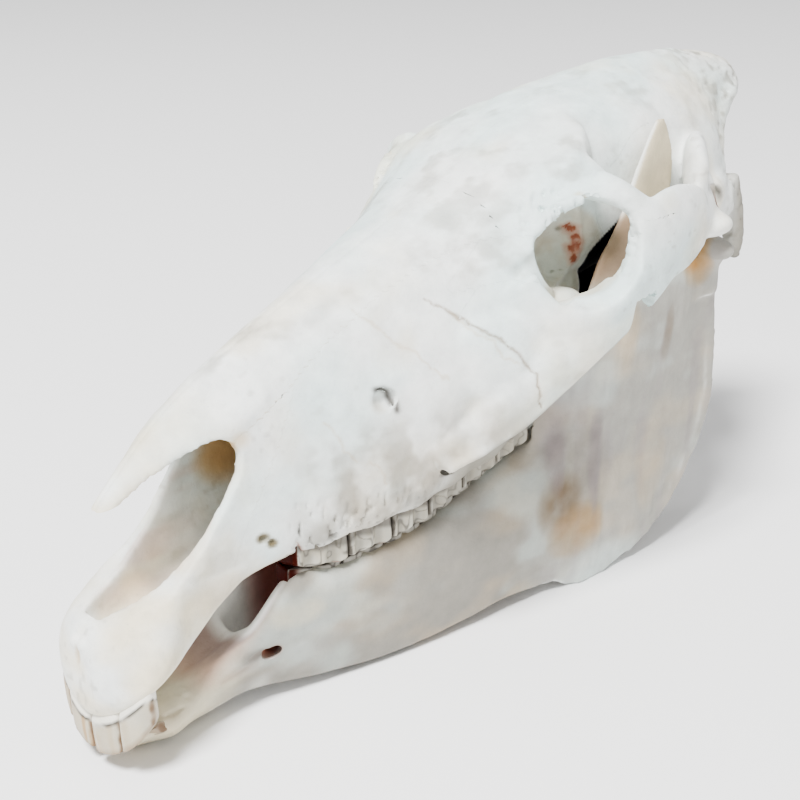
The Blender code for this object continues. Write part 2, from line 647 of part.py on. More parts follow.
LOWER_NECK = ((0, 16, 6), (12, 18.5, 9), (24.5, 26.5, 15.5))
LOWER_EDGE = ((0, 10, 9.5), (12, 13, 13), (25, 21.5, 20.5))
LOWER_LEAN = (0.35, 0.95)
TOOTH_BULGE = 1.0
TOOTH_TAPER = 0.85  # a front tooth's inner face beside its outer one


def bite(y):
    return hermite(BITE_Y, BITE_Z, y).ravel()


def cheek_tooth(name, start, end, upper, home):
    """One grinding tooth with its folded sides, from its root in the bone to the biting plane."""
    slack = 0.4
    lines = []
    for along, across in CHEEK_RING:
        y = start + slack + (end - start - 2 * slack) * along
        outer = hermite(ROW_Y, ROW_X, y)[0, 0] - (0 if upper else LOWER_INSET)
        width = hermite(ROW_Y, ROW_WIDTH, y)[0, 0] if upper else LOWER_WIDTH
        edge = bite(y)[0] + (BITE_GAP if upper else -BITE_GAP)
        if upper:
            levels = ((edge, 0), (edge + 12, 0.5), (edge + 27, 4))
        else:
            levels = ((edge, 0), (edge - 8, 0), (edge - 21, 1))
        shrink = 0.5 + (across - 0.5) * 0.9
        column = []
        for z, lean in levels:
            part = across if lean < 1 else shrink
            column.append((outer - lean - width * part, y, z))
        lines.append(column)
    rings = np.array(lines, float).transpose(1, 0, 2)
    return loft(name, rings, home)


def front_tooth(name, ends, lines, lean, root, thickness, home):
    """One cutting tooth: its outer face follows the edge and neck lines, and its root runs into the
    jaw. The root's shift in x grows with the distance from the middle plane."""
    start, end = ends
    edge, neck = lines
    middle = (start + end) / 2
    rings = []
    for line, deep, push in zip((edge, neck, neck), thickness, ((0, 0, 0), (0, 0, 0), root)):
        xs = [p[0] for p in line]
        outer = []
        for x in (start, middle, end):
            y, z = hermite(xs, [p[1:] for p in line], x)[0]
            outer.append((x, y - (TOOTH_BULGE if x == middle else 0), z))
        inner = []
        for x, y, z in outer[::-1]:
            narrow = middle + (x - middle) * TOOTH_TAPER - deep * 0.35 * middle / INCISOR_ENDS[-1]
            inner.append((max(start, narrow), y + lean[0] * deep, z + lean[1] * deep))
        share = middle / INCISOR_ENDS[-1]
        rings.append([(x + push[0] * share, y + push[1], z + push[2]) for x, y, z in outer + inner])
    return loft(name, rings, home)


def upper_cheek_teeth(home):
    return [cheek_tooth("upper_tooth", a, b, True, home) for a, b in zip(CHEEK_ENDS, CHEEK_ENDS[1:])]


def lower_cheek_teeth(home):
    return [cheek_tooth("lower_tooth", a, b, False, home) for a, b in zip(CHEEK_ENDS, CHEEK_ENDS[1:])]


def upper_front_teeth(home):
    return [
        front_tooth("upper_incisor", (a + 0.25, b - 0.25), (EDGE_LINE, NECK_LINE), UPPER_LEAN,
                    (-6, 7, 13), (5.5, 7.5, 7), home)
        for a, b in zip(INCISOR_ENDS, INCISOR_ENDS[1:])
    ]


def lower_front_teeth(home):
    return [
        front_tooth("lower_incisor", (a + 0.25, b - 0.25), (LOWER_EDGE, LOWER_NECK), LOWER_LEAN,
                    (-4, 12, -2), (4, 5.5, 5), home)
        for a, b in zip(LOWER_ENDS, LOWER_ENDS[1:])
    ]


# Sutures: the outline of each bone from the side, as (y, z), and the x where it starts and ends

SIDE = 150  # past the widest point of the skull
PREMAXILLA_EDGE = (
    (-60, -20), (62, -20), (62, 63), (72, 92), (86, 120), (98, 146), (110, 170), (98, 163), (86, 156),
    (74, 150), (56, 138), (-60, 112),
)
NASAL_EDGE = (
    (-60, 90), (40, 134), (60, 147), (78, 150), (92, 159), (110, 171), (130, 184), (160, 199),
    (190, 211.5), (214, 219), (232, 222), (232, 330), (-60, 330),
)
TEMPORAL_EDGE = (
    (292, 221), (294, 228), (312, 228), (318, 262), (400, 262), (440, 244), (440, 150), (305, 150),
    (301, 181),
)
TEMPORAL_DEPTH = 49
BRAINCASE_EDGE = (
    (322, 400), (322, 232), (304, 190), (284, 186), (284, -20), (620, -20), (620, 400),
)
OCCIPITAL_EDGE = (
    (470, 400), (468, 290), (452, 262), (434, 236), (418, 205), (418, -20), (620, -20), (620, 400),
)
CHEEK_EDGE = (
    (186, 197), (204, 183), (218, 171), (228, 156), (232, 137), (237, 123), (252, 116), (272, 134),
    (334, 166), (330, 228), (282, 228), (262, 213), (244, 203),
)
CHEEK_DEPTH = 50
TEAR_EDGE = ((192, 209), (200, 198.5), (244, 203), (262, 206), (262, 218), (243, 222), (222, 222))
TEAR_DEPTH = 42
FRONTAL_EDGE = ((232, 400), (232, 221), (243, 221), (262, 188), (340, 188), (340, 400))


def grown(outline, by):
    """An outline with each side moved outwards."""
    points = [Vector(p) for p in outline]
    area = sum(a.x * b.y - b.x * a.y for a, b in zip(points, points[1:] + points[:1]))
    turn = 1 if area > 0 else -1
    moved = []
    for before, here, after in zip(points[-1:] + points[:-1], points, points[1:] + points[:1]):
        first = (here - before).normalized()
        second = (after - here).normalized()
        one = Vector((first.y, -first.x)) * turn
        two = Vector((second.y, -second.x)) * turn
        corner = (one + two).normalized()
        moved.append(here + corner * by / max(0.4, corner.dot(one)))
    return moved


def copy_of(thing, name, home):
    made = bpy.data.objects.new(name, thing.data.copy())
    home.objects.link(made)
    return made


def shared(thing, cutter, solver="MANIFOLD"):
    """Keeps what a thing shares with a cutter."""
    cut = thing.modifiers.new("part", "BOOLEAN")
    cut.operation = "INTERSECT"
    cut.solver = solver
    cut.object = cutter
    bake(thing)
    bpy.data.objects.remove(cutter, do_unlink=True)
    return keep_largest(thing)


def split_off(whole, name, outline, home, low=-SIDE, high=SIDE, pair=False):
    """Takes a bone out of the whole along its outline, and leaves a thin gap in the whole. A pair
    of bones leaves two gaps, and the left bone is given."""
    bone = shared(copy_of(whole, name, home), prism("edge", outline, home, low, high))
    cutters = [prism("gap", grown(outline, GAP), home, low - (GAP if low > 0 else 0), high)]
    if pair:
        cutters = both(cutters[0], home)
    carve(whole, cutters)
    return bone


def half(whole, name, home, side=1):
    """One side of a thing, half a gap away from the middle plane."""
    outline = [(-200, -200), (800, -200), (800, 500), (-200, 500)]
    reach = (GAP / 2, SIDE) if side > 0 else (-SIDE, -GAP / 2)
    return shared(copy_of(whole, name, home), prism("side", outline, home, *reach))


def bone_nodes(whole, home):
    """The cranium parted into its bones."""
    made = [split_off(whole, "premaxilla", PREMAXILLA_EDGE, home)]
    lefts = [split_off(whole, "temporal", TEMPORAL_EDGE, home, TEMPORAL_DEPTH, SIDE, pair=True)]
    braincase = split_off(whole, "braincase", BRAINCASE_EDGE, home)
    occipital = split_off(braincase, "occipital", OCCIPITAL_EDGE, home)
    made += [keep_largest(braincase), occipital]
    face = half(whole, "maxilla", home)
    bpy.data.objects.remove(whole, do_unlink=True)
    for name, outline, low in (
        ("nasal", NASAL_EDGE, -SIDE),
        ("zygomatic", CHEEK_EDGE, CHEEK_DEPTH),
        ("lacrimal", TEAR_EDGE, TEAR_DEPTH),
        ("frontal", FRONTAL_EDGE, -SIDE),
    ):
        lefts.append(split_off(face, name, outline, home, low, SIDE))
    fuse(keep_largest(face), upper_cheek_teeth(home), home)
    lefts.append(face)
    incisors = []
    for tooth in upper_front_teeth(home):
        incisors += both(tooth, home)
    fuse(made[0], incisors, home)
    for bone in lefts:
        other = mirrored(bone, home)
        plain = bone.name
        bone.name = plain + "_left"
        other.name = plain + "_right"
        made += [bone, other]
    return made


def jaw_nodes(whole, home):
    """The lower jaw parted at the chin, with its teeth, and flat where it rests."""
    floor = [(-200, -60), (800, -60), (800, -LIFT), (-200, -LIFT)]
    carve(whole, [prism("floor", floor, home)])
    made = []
    for name, side in (("mandible_left", 1), ("mandible_right", -1)):
        teeth = lower_cheek_teeth(home) + lower_front_teeth(home)
        if side < 0:
            kept = []
            for tooth in teeth:
                kept.append(mirrored(tooth, home))
                bpy.data.objects.remove(tooth, do_unlink=True)
            teeth = kept
        made.append(fuse(half(whole, name, home, side), teeth, home))
    bpy.data.objects.remove(whole, do_unlink=True)
    return made


def bone_material(name):
    """Each bone has a finish of its own: the lower jaw is a little greyer than the cranium."""
    made = bpy.data.materials.new(name + "_bone")
    made.use_nodes = True
    shader = made.node_tree.nodes["Principled BSDF"]
    colour = JAW_BONE if name.startswith("mandible") else CRANIUM_BONE
    shader.inputs["Base Color"].default_value = (*colour, 1)
    shader.inputs["Roughness"].default_value = BONE_ROUGHNESS
    shader.inputs["Metallic"].default_value = 0.0
    return made


def place(nodes):
    """Sets the drawn bones down on the floor at their real size."""
    frame = Matrix.Scale(UNIT, 4) @ Matrix.Translation((0, -MIDDLE, LIFT))
    for node in nodes:
        node.data.transform(frame)
        node.data.update()
        node.data.materials.clear()
        node.data.materials.append(bone_material(node.name))


def main():
    clear_scene()
    home = collection("zebra_skull")
    nodes = bone_nodes(cranium(home), home)
    nodes += jaw_nodes(lower_jaw(home), home)
    place(nodes)


main()
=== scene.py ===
"""The looks of the zebra skull: each bone again as a finely modelled piece over its plain solid, the
teeth as pieces of their own, with the finish of cleaned, bleached bone. The forms come from the same
named sizes as the solids, in the same drawing units."""

import math
from contextlib import contextmanager

import bmesh
import bpy
import numpy as np
from mathutils import Matrix, Vector


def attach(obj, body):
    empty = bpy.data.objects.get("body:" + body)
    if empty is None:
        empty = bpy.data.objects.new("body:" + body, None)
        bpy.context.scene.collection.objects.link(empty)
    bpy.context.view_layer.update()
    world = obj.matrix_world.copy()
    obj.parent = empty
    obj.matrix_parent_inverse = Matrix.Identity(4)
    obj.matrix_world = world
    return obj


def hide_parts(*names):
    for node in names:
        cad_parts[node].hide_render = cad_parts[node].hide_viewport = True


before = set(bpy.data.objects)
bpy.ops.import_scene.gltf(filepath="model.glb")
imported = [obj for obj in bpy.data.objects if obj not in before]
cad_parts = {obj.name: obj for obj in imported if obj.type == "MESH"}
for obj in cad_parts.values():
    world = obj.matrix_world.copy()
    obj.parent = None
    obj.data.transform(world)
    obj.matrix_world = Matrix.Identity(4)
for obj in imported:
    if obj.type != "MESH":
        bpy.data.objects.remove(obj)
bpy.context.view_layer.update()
HOME = bpy.context.scene.collection

# Driving dimensions, as in the solids
SKULL_LENGTH = 0.530  # m, from the front of the upper jaw to the middle of the nuchal crest
DRAWN_LENGTH = 551.0  # the same length on the drawing below, in drawing units
UNIT = SKULL_LENGTH / DRAWN_LENGTH  # m for each drawing unit
MIDDLE = 245.8  # drawing units from the front teeth back to the middle of the whole skull
LIFT = 2.4  # drawing units from the drawing's zero level down to the floor

VOXEL = 1.2  # the grain of the bones' skins, in drawing units
RING = 90  # points round a lofted section
STEPS = 14  # sections between two named ones
SUTURE_GAP = 0.07  # drawing units that two bones keep at a suture
SUTURE_PITCH = 4.4  # the length of one tooth of a serrated suture
SUTURE_DEPTH = 0.6  # how far its teeth reach to each side
SAME_PLACE = 0.0001  # points closer than this are one point
FREE_EDGE = 80  # y before which the nasal bones' edges are free and smooth


def hermite(stations, values, at):
    """A smooth curve through the values at the stations, read at one or more places."""
    xs = np.asarray(stations, float)
    ys = np.asarray(values, float).reshape(len(xs), -1)
    slopes = np.gradient(ys, xs, axis=0)
    at = np.clip(np.atleast_1d(np.asarray(at, float)), xs[0], xs[-1])
    i = np.clip(np.searchsorted(xs, at, side="right") - 1, 0, len(xs) - 2)
    h = (xs[i + 1] - xs[i])[:, None]
    t = ((at - xs[i])[:, None]) / h
    return (
        (2 * t**3 - 3 * t**2 + 1) * ys[i]
        + (t**3 - 2 * t**2 + t) * h * slopes[i]
        + (3 * t**2 - 2 * t**3) * ys[i + 1]
        + (t**3 - t**2) * h * slopes[i + 1]
    )


def closed_curve(points, count):
    """A smooth closed curve through the points, as count points evenly spaced along it."""
    points = np.asarray(points, float)
    loop = np.vstack([points[-2:], points, points[:3]])
    fine = hermite(np.arange(len(loop)), loop, np.linspace(2, len(points) + 2, 20 * count + 1))
    run = np.r_[0, np.cumsum(np.linalg.norm(np.diff(fine, axis=0), axis=1))]
    even = np.linspace(0, run[-1], count + 1)[:-1]
    return np.stack([np.interp(even, run, fine[:, k]) for k in range(fine.shape[1])], 1)


@contextmanager
def edited(mesh):
    """A mesh opened for editing, and written back at the end."""
    work = bmesh.new()
    work.from_mesh(mesh)
    yield work
    work.to_mesh(mesh)
    work.free()


def placed(name, mesh):
    made = bpy.data.objects.new(name, mesh)
    HOME.objects.link(made)
    return made


def loft(name, rings):
    """A closed skin over rings of equal length, with a fan at each end."""
    rings = np.asarray(rings, float)
    count, size = rings.shape[:2]
    points = [tuple(p) for ring in rings for p in ring]
    faces = []
    for a in range(0, (count - 1) * size, size):
        for b in range(size):
            c = (b + 1) % size
            faces.append((a + b, a + c, a + size + c, a + size + b))
    for ring, flip in ((0, False), (count - 1, True)):
        points.append(tuple(rings[ring].mean(0)))
        centre = len(points) - 1
        for b in range(size):
            edge = (ring * size + (b + 1) % size, ring * size + b)
            faces.append((*edge[::-1], centre) if flip else (*edge, centre))
    mesh = bpy.data.meshes.new(name)
    mesh.from_pydata(points, [], faces)
    with edited(mesh) as work:
        bmesh.ops.remove_doubles(work, verts=work.verts, dist=SAME_PLACE)
        bmesh.ops.recalc_face_normals(work, faces=work.faces)
    return placed(name, mesh)


def run_through(sections):
    """Sections at many places between the named ones, as (place, points) on smooth curves."""
    along = [section[0] for section in sections]
    shapes = np.array([section[1] for section in sections], float)
    at = np.unique(np.concatenate([np.linspace(a, b, STEPS + 1) for a, b in zip(along, along[1:])]))
    return zip(at, hermite(along, shapes, at).reshape(len(at), -1, 2))


def section_loft(name, sections):
    """A loft along Y. A section is its y, then the (x, z) points of its left half from the top of
    the middle plane to the bottom of it."""
    rings = []
    for y, half in run_through(sections):
        ring = closed_curve(np.vstack([half, half[-2:0:-1] * (-1, 1)]), RING)
        rings.append(np.insert(ring, 1, y, axis=1))
    return loft(name, rings)


def side_loft(name, sections, axis=1):
    """A loft of one side's solid along Y (axis 1) or Z (axis 2), from closed sections."""
    rings = []
    for place, shape in run_through(sections):
        rings.append(np.insert(closed_curve(shape, RING // 2), axis, place, axis=1))
    return loft(name, rings)


def sweep(name, path, up=(0, 0, 1), steps=12, sides=36):
    """A bent bar of oval section. A path point is x, y, z, half its width, half its height."""
    path = np.asarray(path, float)
    count = len(path)
    fine = hermite(np.arange(count), path, np.linspace(0, count - 1, steps * (count - 1) + 1))
    turn = np.linspace(0, 2 * math.pi, sides, endpoint=False)
    rings = []
    for point, way in zip(fine, np.gradient(fine[:, :3], axis=0)):
        way = way / np.linalg.norm(way)
        across = np.cross(way, up)
        across /= np.linalg.norm(across)
        wide = np.outer(np.cos(turn) * point[3], across)
        high = np.outer(np.sin(turn) * point[4], np.cross(across, way))
        rings.append(point[:3] + wide + high)
    return loft(name, rings)


def ball(name, centre, radii, turn=(0, 0, 0)):
    """An ellipsoid, turned about x, y and z by so many degrees."""
    mesh = bpy.data.meshes.new(name)
    place = Matrix.Translation(centre)
    spins = [Matrix.Rotation(math.radians(turn[k]), 4, "XYZ"[k]) for k in (2, 1, 0)]
    place = place @ (spins[0] @ spins[1] @ spins[2]) @ Matrix.Diagonal((*radii, 1.0))
    with edited(mesh) as work:
        bmesh.ops.create_uvsphere(work, u_segments=56, v_segments=32, radius=1.0)
        bmesh.ops.transform(work, matrix=place, verts=work.verts)
    return placed(name, mesh)


def prism(name, outline, low=-150.0, high=150.0):
    """An outline of (y, z) points with straight sides along X."""
    curve = bpy.data.curves.new(name, "CURVE")
    curve.dimensions = "2D"
    curve.fill_mode = "BOTH"
    curve.extrude = (high - low) / 2
    line = curve.splines.new("POLY")
    line.points.add(len(outline) - 1)
    for spot, point in zip(line.points, outline):
        spot.co = (*point, 0, 1)
    line.use_cyclic_u = True
    flat = placed(name + "_outline", curve)
    place = Matrix(((0, 0, 1, (low + high) / 2), (1, 0, 0, 0), (0, 1, 0, 0), (0, 0, 0, 1)))
    flat.matrix_world = place
    mesh = settled_mesh(flat)
    mesh.transform(place)
    bpy.data.objects.remove(flat, do_unlink=True)
    with edited(mesh) as work:
        bmesh.ops.remove_doubles(work, verts=work.verts, dist=SAME_PLACE)
        bmesh.ops.triangulate(work, faces=work.faces)
        bmesh.ops.recalc_face_normals(work, faces=work.faces)
    return placed(name, mesh)


def mirrored(source):
    """The right side's copy of a left side's form."""
    mesh = source.data.copy()
    mesh.transform(Matrix.Scale(-1, 4, (1, 0, 0)))
    mesh.flip_normals()
    return placed(source.name + "_right", mesh)


def both(source):
    return [source, mirrored(source)]


def settled_mesh(thing):
    """A thing's mesh with its modifiers applied."""
    bpy.context.view_layer.update()
    return bpy.data.meshes.new_from_object(thing.evaluated_get(bpy.context.evaluated_depsgraph_get()))


def changed(thing, kind, **settings):
    """Puts a modifier on a thing and applies it."""
    modifier = thing.modifiers.new(kind, kind)
    for setting, value in settings.items():
        setattr(modifier, setting, value)
    mesh, old = settled_mesh(thing), thing.data
    thing.modifiers.clear()
    thing.data = mesh
    bpy.data.meshes.remove(old)
    return thing


def joined(name, pieces):
    """Closed forms in one mesh, still crossing one another."""
    mesh = bpy.data.meshes.new(name)
    with edited(mesh) as work:
        for piece in pieces:
            work.from_mesh(piece.data)
    for piece in pieces:
        bpy.data.objects.remove(piece, do_unlink=True)
    return placed(name, mesh)


def soften(thing, rounds):
    """Melts crossing forms into one skin, and rounds their joins."""
    changed(thing, "REMESH", mode="VOXEL", voxel_size=VOXEL)
    return changed(thing, "SMOOTH", iterations=rounds, factor=0.5)


def combined(thing, cutter, operation):
    changed(thing, "BOOLEAN", operation=operation, solver="MANIFOLD", object=cutter)
    bpy.data.objects.remove(cutter, do_unlink=True)
    return thing


def carve(thing, cutters):
    for cutter in cutters:
        combined(thing, cutter, "DIFFERENCE")


def keep_largest(thing):
    """Keeps a mesh's largest closed surface and drops loose scraps."""
    mesh = thing.data
    ends = np.empty(len(mesh.edges) * 2, np.int64)
    mesh.edges.foreach_get("vertices", ends)
    first, second = ends[0::2], ends[1::2]
    label = np.arange(len(mesh.vertices))
    while True:
        low = np.minimum(label[first], label[second])
        fresh = label.copy()
        np.minimum.at(fresh, first, low)
        np.minimum.at(fresh, second, low)
        fresh = fresh[fresh]
        if (fresh == label).all():
            break
        label = fresh
    shells, sizes = np.unique(label, return_counts=True)
    if len(shells) > 1:
        with edited(mesh) as work:
            work.verts.ensure_lookup_table()
            scraps = [work.verts[i] for i in np.nonzero(label != shells[sizes.argmax()])[0]]
            bmesh.ops.delete(work, geom=scraps, context="VERTS")
    return thing


# Cranium: the levels of its middle line, and the sections of its lofts

FACE = (
    # y, then (x, z) of the roof's middle, shoulder, upper side, side, lower side, jaw edge, palate
    (56, ((0, 167), (10, 161), (19, 151), (23.5, 120), (22.5, 88), (19, 67), (0, 63))),
    (80, ((0, 180), (12.5, 172), (23, 159), (26, 130), (26, 100), (24, 78), (0, 73))),
    (100, ((0, 188.5), (14.5, 181), (26, 166), (31, 136), (32, 106), (28, 82), (0, 78))),
    (122, ((0, 198), (16.5, 190), (29, 173), (38, 143), (40, 112), (34, 84), (0, 82))),
    (150, ((0, 209), (19.5, 201), (34, 184), (45, 152), (49, 118), (39, 86), (0, 87))),
    (180, ((0, 220.5), (23, 213), (39, 195), (52, 162), (55, 122), (43, 89), (0, 92))),
    (210, ((0, 232.5), (28, 225), (46, 204), (60, 172), (57, 132), (46, 96), (0, 99))),
    (236, ((0, 245), (35, 237.5), (55, 214), (64, 184), (59, 142), (48, 104), (0, 108))),
    (262, ((0, 257), (42, 251), (61, 236.5), (60, 194), (52, 156), (40, 120), (0, 118))),
    (284, ((0, 267), (42, 260.5), (56, 250), (47, 205), (40, 172), (30, 142), (0, 138))),
    (305, ((0, 274), (34, 269.5), (46, 253), (44, 215), (36, 185), (24, 165), (0, 158))),
)
BRAINCASE = (
    (285, ((0, 267), (30, 263), (40, 246), (42, 215), (36, 190), (24, 172), (0, 166))),
    (312, ((0, 276.5), (28, 272), (45, 254), (50, 222), (44, 196), (26, 176), (0, 170))),
    (342, ((0, 282), (20, 279), (43, 264), (54.5, 233), (51, 203), (28, 182), (0, 176))),
    (372, ((0, 288), (14, 284.5), (41, 267), (57, 237), (53, 207), (30, 187), (0, 181))),
    (402, ((0, 289.5), (10, 286), (36, 269), (53, 241), (53, 212), (34, 190), (0, 184))),
    (430, ((0, 289), (9, 285), (28, 269), (43, 243), (47, 214), (34, 190), (0, 186))),
    (454, ((0, 286), (12, 282), (26, 269), (27, 242), (32, 212), (28, 190), (0, 186))),
    (472, ((0, 283), (15, 279), (24, 267), (13, 240), (21, 208), (18, 190), (0, 186))),
    (486, ((0, 279), (10, 277), (15, 267), (10, 256), (7, 251), (4, 249), (0, 248))),
)
NASAL = (
    (9, ((0, 124.5), (3.4, 123), (5.4, 120), (4.4, 117), (0, 117))),
    (13, ((0, 130), (4.0, 128), (6.0, 124), (4.8, 119.5), (0, 119.5))),
    (21, ((0, 138), (4.4, 136), (7.0, 131.5), (5.4, 126), (0, 125.5))),
    (34, ((0, 150), (5.5, 147), (10.5, 140), (8.0, 136), (0, 138))),
    (50, ((0, 163), (8.0, 158), (16.0, 150), (13.0, 145), (0, 148))),
    (72, ((0, 176), (11.5, 169.5), (23.5, 157), (20.0, 150), (0, 156))),
    (95, ((0, 186), (13.5, 179.5), (26.0, 167), (22.0, 158), (0, 164))),
)
PREMAXILLA = (
    (-3.5, ((0, 66), (7, 65), (13, 59), (14, 46), (9, 34), (0, 30))),
    (2, ((0, 75), (8, 75), (17, 70), (25, 53), (21, 36), (0, 25))),
    (9, ((0, 77), (10, 79), (21, 74), (32, 57), (30, 42), (0, 28))),
    (18, ((0, 76), (12, 82), (25, 77), (35, 61), (33, 48), (0, 34))),
    (29, ((0, 76), (14, 86), (27, 83), (33, 68), (29, 50), (0, 40))),
    (42, ((0, 80), (16, 93), (25, 92), (27, 75), (24, 54), (0, 50))),
    (62, ((0, 95), (18, 112), (24, 111), (24.5, 92), (23, 68), (0, 63))),
    (80, ((0, 110), (18, 128), (24, 126), (26, 104), (24, 80), (0, 73))),
)
ARCH = (
    # x, y, z of its middle, half its thickness, half its height
    (55, 176, 118, 5, 6),
    (61, 200, 126, 7, 10),
    (68, 228, 144, 9, 16),
    (78, 254, 165, 9, 18),
    (87, 282, 189, 8, 21),
    (91, 308, 213, 7.5, 26),
    (88, 336, 216, 7, 22),
    (79, 362, 213, 7, 15),
    (66, 384, 215, 8, 13),
    (48, 398, 222, 9, 18),
)
CREST_EDGE = (
    # the sharp lower edge of the facial crest and the cheek arch
    (61, 180, 114, 3.0, 2.6),
    (66, 200, 119.5, 3.4, 3.0),
    (73, 228, 131.5, 3.8, 3.4),
    (80, 254, 150.5, 3.8, 3.6),
    (88, 282, 171.5, 3.6, 3.6),
    (93, 308, 190.5, 3.4, 3.6),
    (91, 334, 196.5, 3.2, 3.4),
    (82, 360, 200.5, 3.0, 3.0),
)
UNDER_CREST = (
    # the hollow that runs under the crest
    (57, 182, 104, 2.5, 3),
    (61, 198, 107, 4, 4),
    (65, 216, 113, 4.5, 4.5),
    (69, 236, 124, 4, 4),
)
BROW = (
    # y, then (x, z) of the shelf over the socket: inner top, outer top, rim, outer foot, inner foot
    (228, ((34, 234), (50, 216), (57, 208), (52, 203), (40, 208), (30, 222))),
    (244, ((36, 241), (56, 226), (63, 218), (57, 213), (42, 218), (32, 232))),
    (260, ((38, 249), (62, 238), (70, 231), (63, 226), (44, 230), (34, 241))),
    (274, ((40, 255), (68, 244.5), (77, 238), (69, 232), (46, 236), (36, 246))),
    (286, ((40, 259), (70, 246), (80, 240), (72, 235), (46, 241), (36, 250))),
    (295, ((42, 260), (58, 252), (66, 246), (58, 242), (46, 246), (40, 252))),
)
POSTORBITAL = (
    # the bar behind the socket, from the roof down to the cheek arch
    (66, 282, 245, 7, 6),
    (76, 286, 241, 7, 6.5),
    (85, 291, 235, 7, 7),
    (91, 298, 227, 8, 7),
    (92, 306, 216, 9, 7),
)
SOCKET_FLOOR = (
    # the socket's lower rim, from the tear bone back to the cheek arch
    (59, 231, 200, 6, 12),
    (66, 236, 187, 7, 12),
    (76, 246, 179, 7, 10),
    (84, 260, 180, 6, 10),
    (90, 276, 190, 6, 11),
    (93, 290, 204, 6, 12),
)
SOCKET_SHELF = (
    # the ledge inside the lower rim
    (54, 236, 188, 8, 9),
    (65, 252, 178, 9, 9),
    (74, 268, 180, 9, 9),
    (81, 285, 194, 8, 9),
)
ORBIT_CENTRE = (80, 262, 213)
ORBIT_AXIS = (0.80, -0.50, 0.33)  # out of the socket
ORBIT_RADII = (29.5, 29.5, 25.5, 24.5, 21, 9)
ORBIT_DEPTHS = (-30, 0, 9, 22, 42, 60)
ORBIT_LIFTS = (0, 0, 3.5, 5, 4, 0)  # the socket's floor stands higher inside than its rim
INFRAORBITAL = (46, 151, 155.5)  # the mouths of the larger foramina
EAR_OPENING = (59, 403, 212)
MENTAL = (22, 92, 29)
APERTURE = (
    # (y, z) round the nose opening, seen from the side
    (-30, 116), (10, 118), (20, 126), (34, 137.5), (48, 146.5), (60, 152), (69, 153), (76, 149),
    (79, 142), (77, 133), (69, 121), (56, 104), (45, 94.5), (34, 87), (21, 82), (8, 80), (-30, 84),
)
NASAL_CAVITY = (
    (6, ((0, 117), (4, 116), (6, 104), (6.5, 78), (0, 72))),
    (22, ((0, 131), (8, 127), (12, 106), (9, 73), (0, 65))),
    (42, ((0, 148), (11, 143), (17, 112), (12, 77), (0, 67))),
    (66, ((0, 166), (12, 158), (19, 120), (14, 86), (0, 77))),
    (95, ((0, 178), (15, 168), (22, 130), (17, 98), (0, 92))),
    (130, ((0, 190), (16, 182), (26, 145), (20, 112), (0, 104))),
    (170, ((0, 203), (15, 196), (27, 160), (20, 130), (0, 122))),
    (200, ((0, 200), (8, 195), (12, 172), (9, 150), (0, 145))),
)
PALATE_VAULT = (
    (96, ((0, 84), (6, 82), (9, 76), (7, 66), (0, 60))),
    (120, ((0, 92), (12, 88), (17, 78), (14, 62), (0, 55))),
    (180, ((0, 101), (14, 97), (20, 86), (16, 66), (0, 58))),
    (232, ((0, 112), (14, 108), (21, 96), (16, 76), (0, 66))),
    (262, ((0, 150), (14, 142), (19, 120), (15, 92), (0, 80))),
    (300, ((0, 156), (11, 150), (14, 130), (11, 104), (0, 92))),
)

MELT_ROUNDS = round(5 * (2.0 / VOXEL) ** 2)  # smoothing that rounds the joins as the solids have them
EDGE_ROUNDS = round(1.5 * (2.0 / VOXEL) ** 2)
CANALS = (
    # x, y, z of a foramen's middle, its radii, and its turn about x, y and z
    ((53, 188.5, 108), (4.5, 6.5, 2.6), (-20, 0, -12)),
    ((61.5, 253.5, 228.5), (2.4, 1.2, 4.4), (0, 0, 0)),
    ((62.5, 256, 230.5), (2.4, 0.9, 4.6), (8, 0, 0)),
    ((60.0, 250.5, 222.5), (3.0, 1.4, 2.2), (0, 0, 0)),
    ((65.5, 261.5, 235.5), (1.2, 2.2, 3.2), (0, 0, 0)),
    ((71, 269.5, 239.5), (1.0, 2.4, 3.4), (0, 0, -20)),
    ((74.5, 273, 240), (1.1, 2.2, 3.4), (0, 0, -20)),
    ((64, 401, 215), (6.5, 7, 6.5), (0, 0, 0)),
    ((73, 384, 220), (6, 12, 7), (0, 0, 32)),
)
LID = (
    # the slot under the lid of the infraorbital foramen
    (43.0, 148.5, 160.6, 0.5, 0.5),
    (42.4, 152.5, 160.2, 1.0, 1.0),
    (43.0, 156.4, 157.4, 1.3, 1.3),
    (44.2, 158.0, 153, 1.1, 1.1),
    (45.6, 157.4, 149, 0.5, 0.5),
)
BROW_LIP = (
    (56.5, 246.5, 221, 2.4, 2.4),
    (58.0, 249.0, 225, 3.4, 3.4),
    (60.0, 252.0, 229.5, 3.8, 3.8),
    (62.5, 256.5, 233.5, 3.8, 3.8),
    (66.0, 262.5, 236.5, 3.4, 3.4),
    (71.0, 268.5, 238.5, 2.4, 2.4),
)


def socket_forms():
    """What narrows the eye socket: the torn edge of its brow, its inner wall and its floor's lip."""
    made = both(sweep("brow_lip", BROW_LIP))
    made += both(ball("socket_wall", (31.5, 304, 176), (9, 10, 13)))
    made += both(ball("socket_lip", (55, 272, 180), (11, 13, 7)))
    return made


def foramina():
    """The cranium's paired openings for vessels and nerves, and the notches in the socket's brow."""
    made = []
    for centre, radii, turn in CANALS:
        made += both(ball("foramen", centre, radii, turn))
    made += both(sweep("infraorbital", LID))
    return made


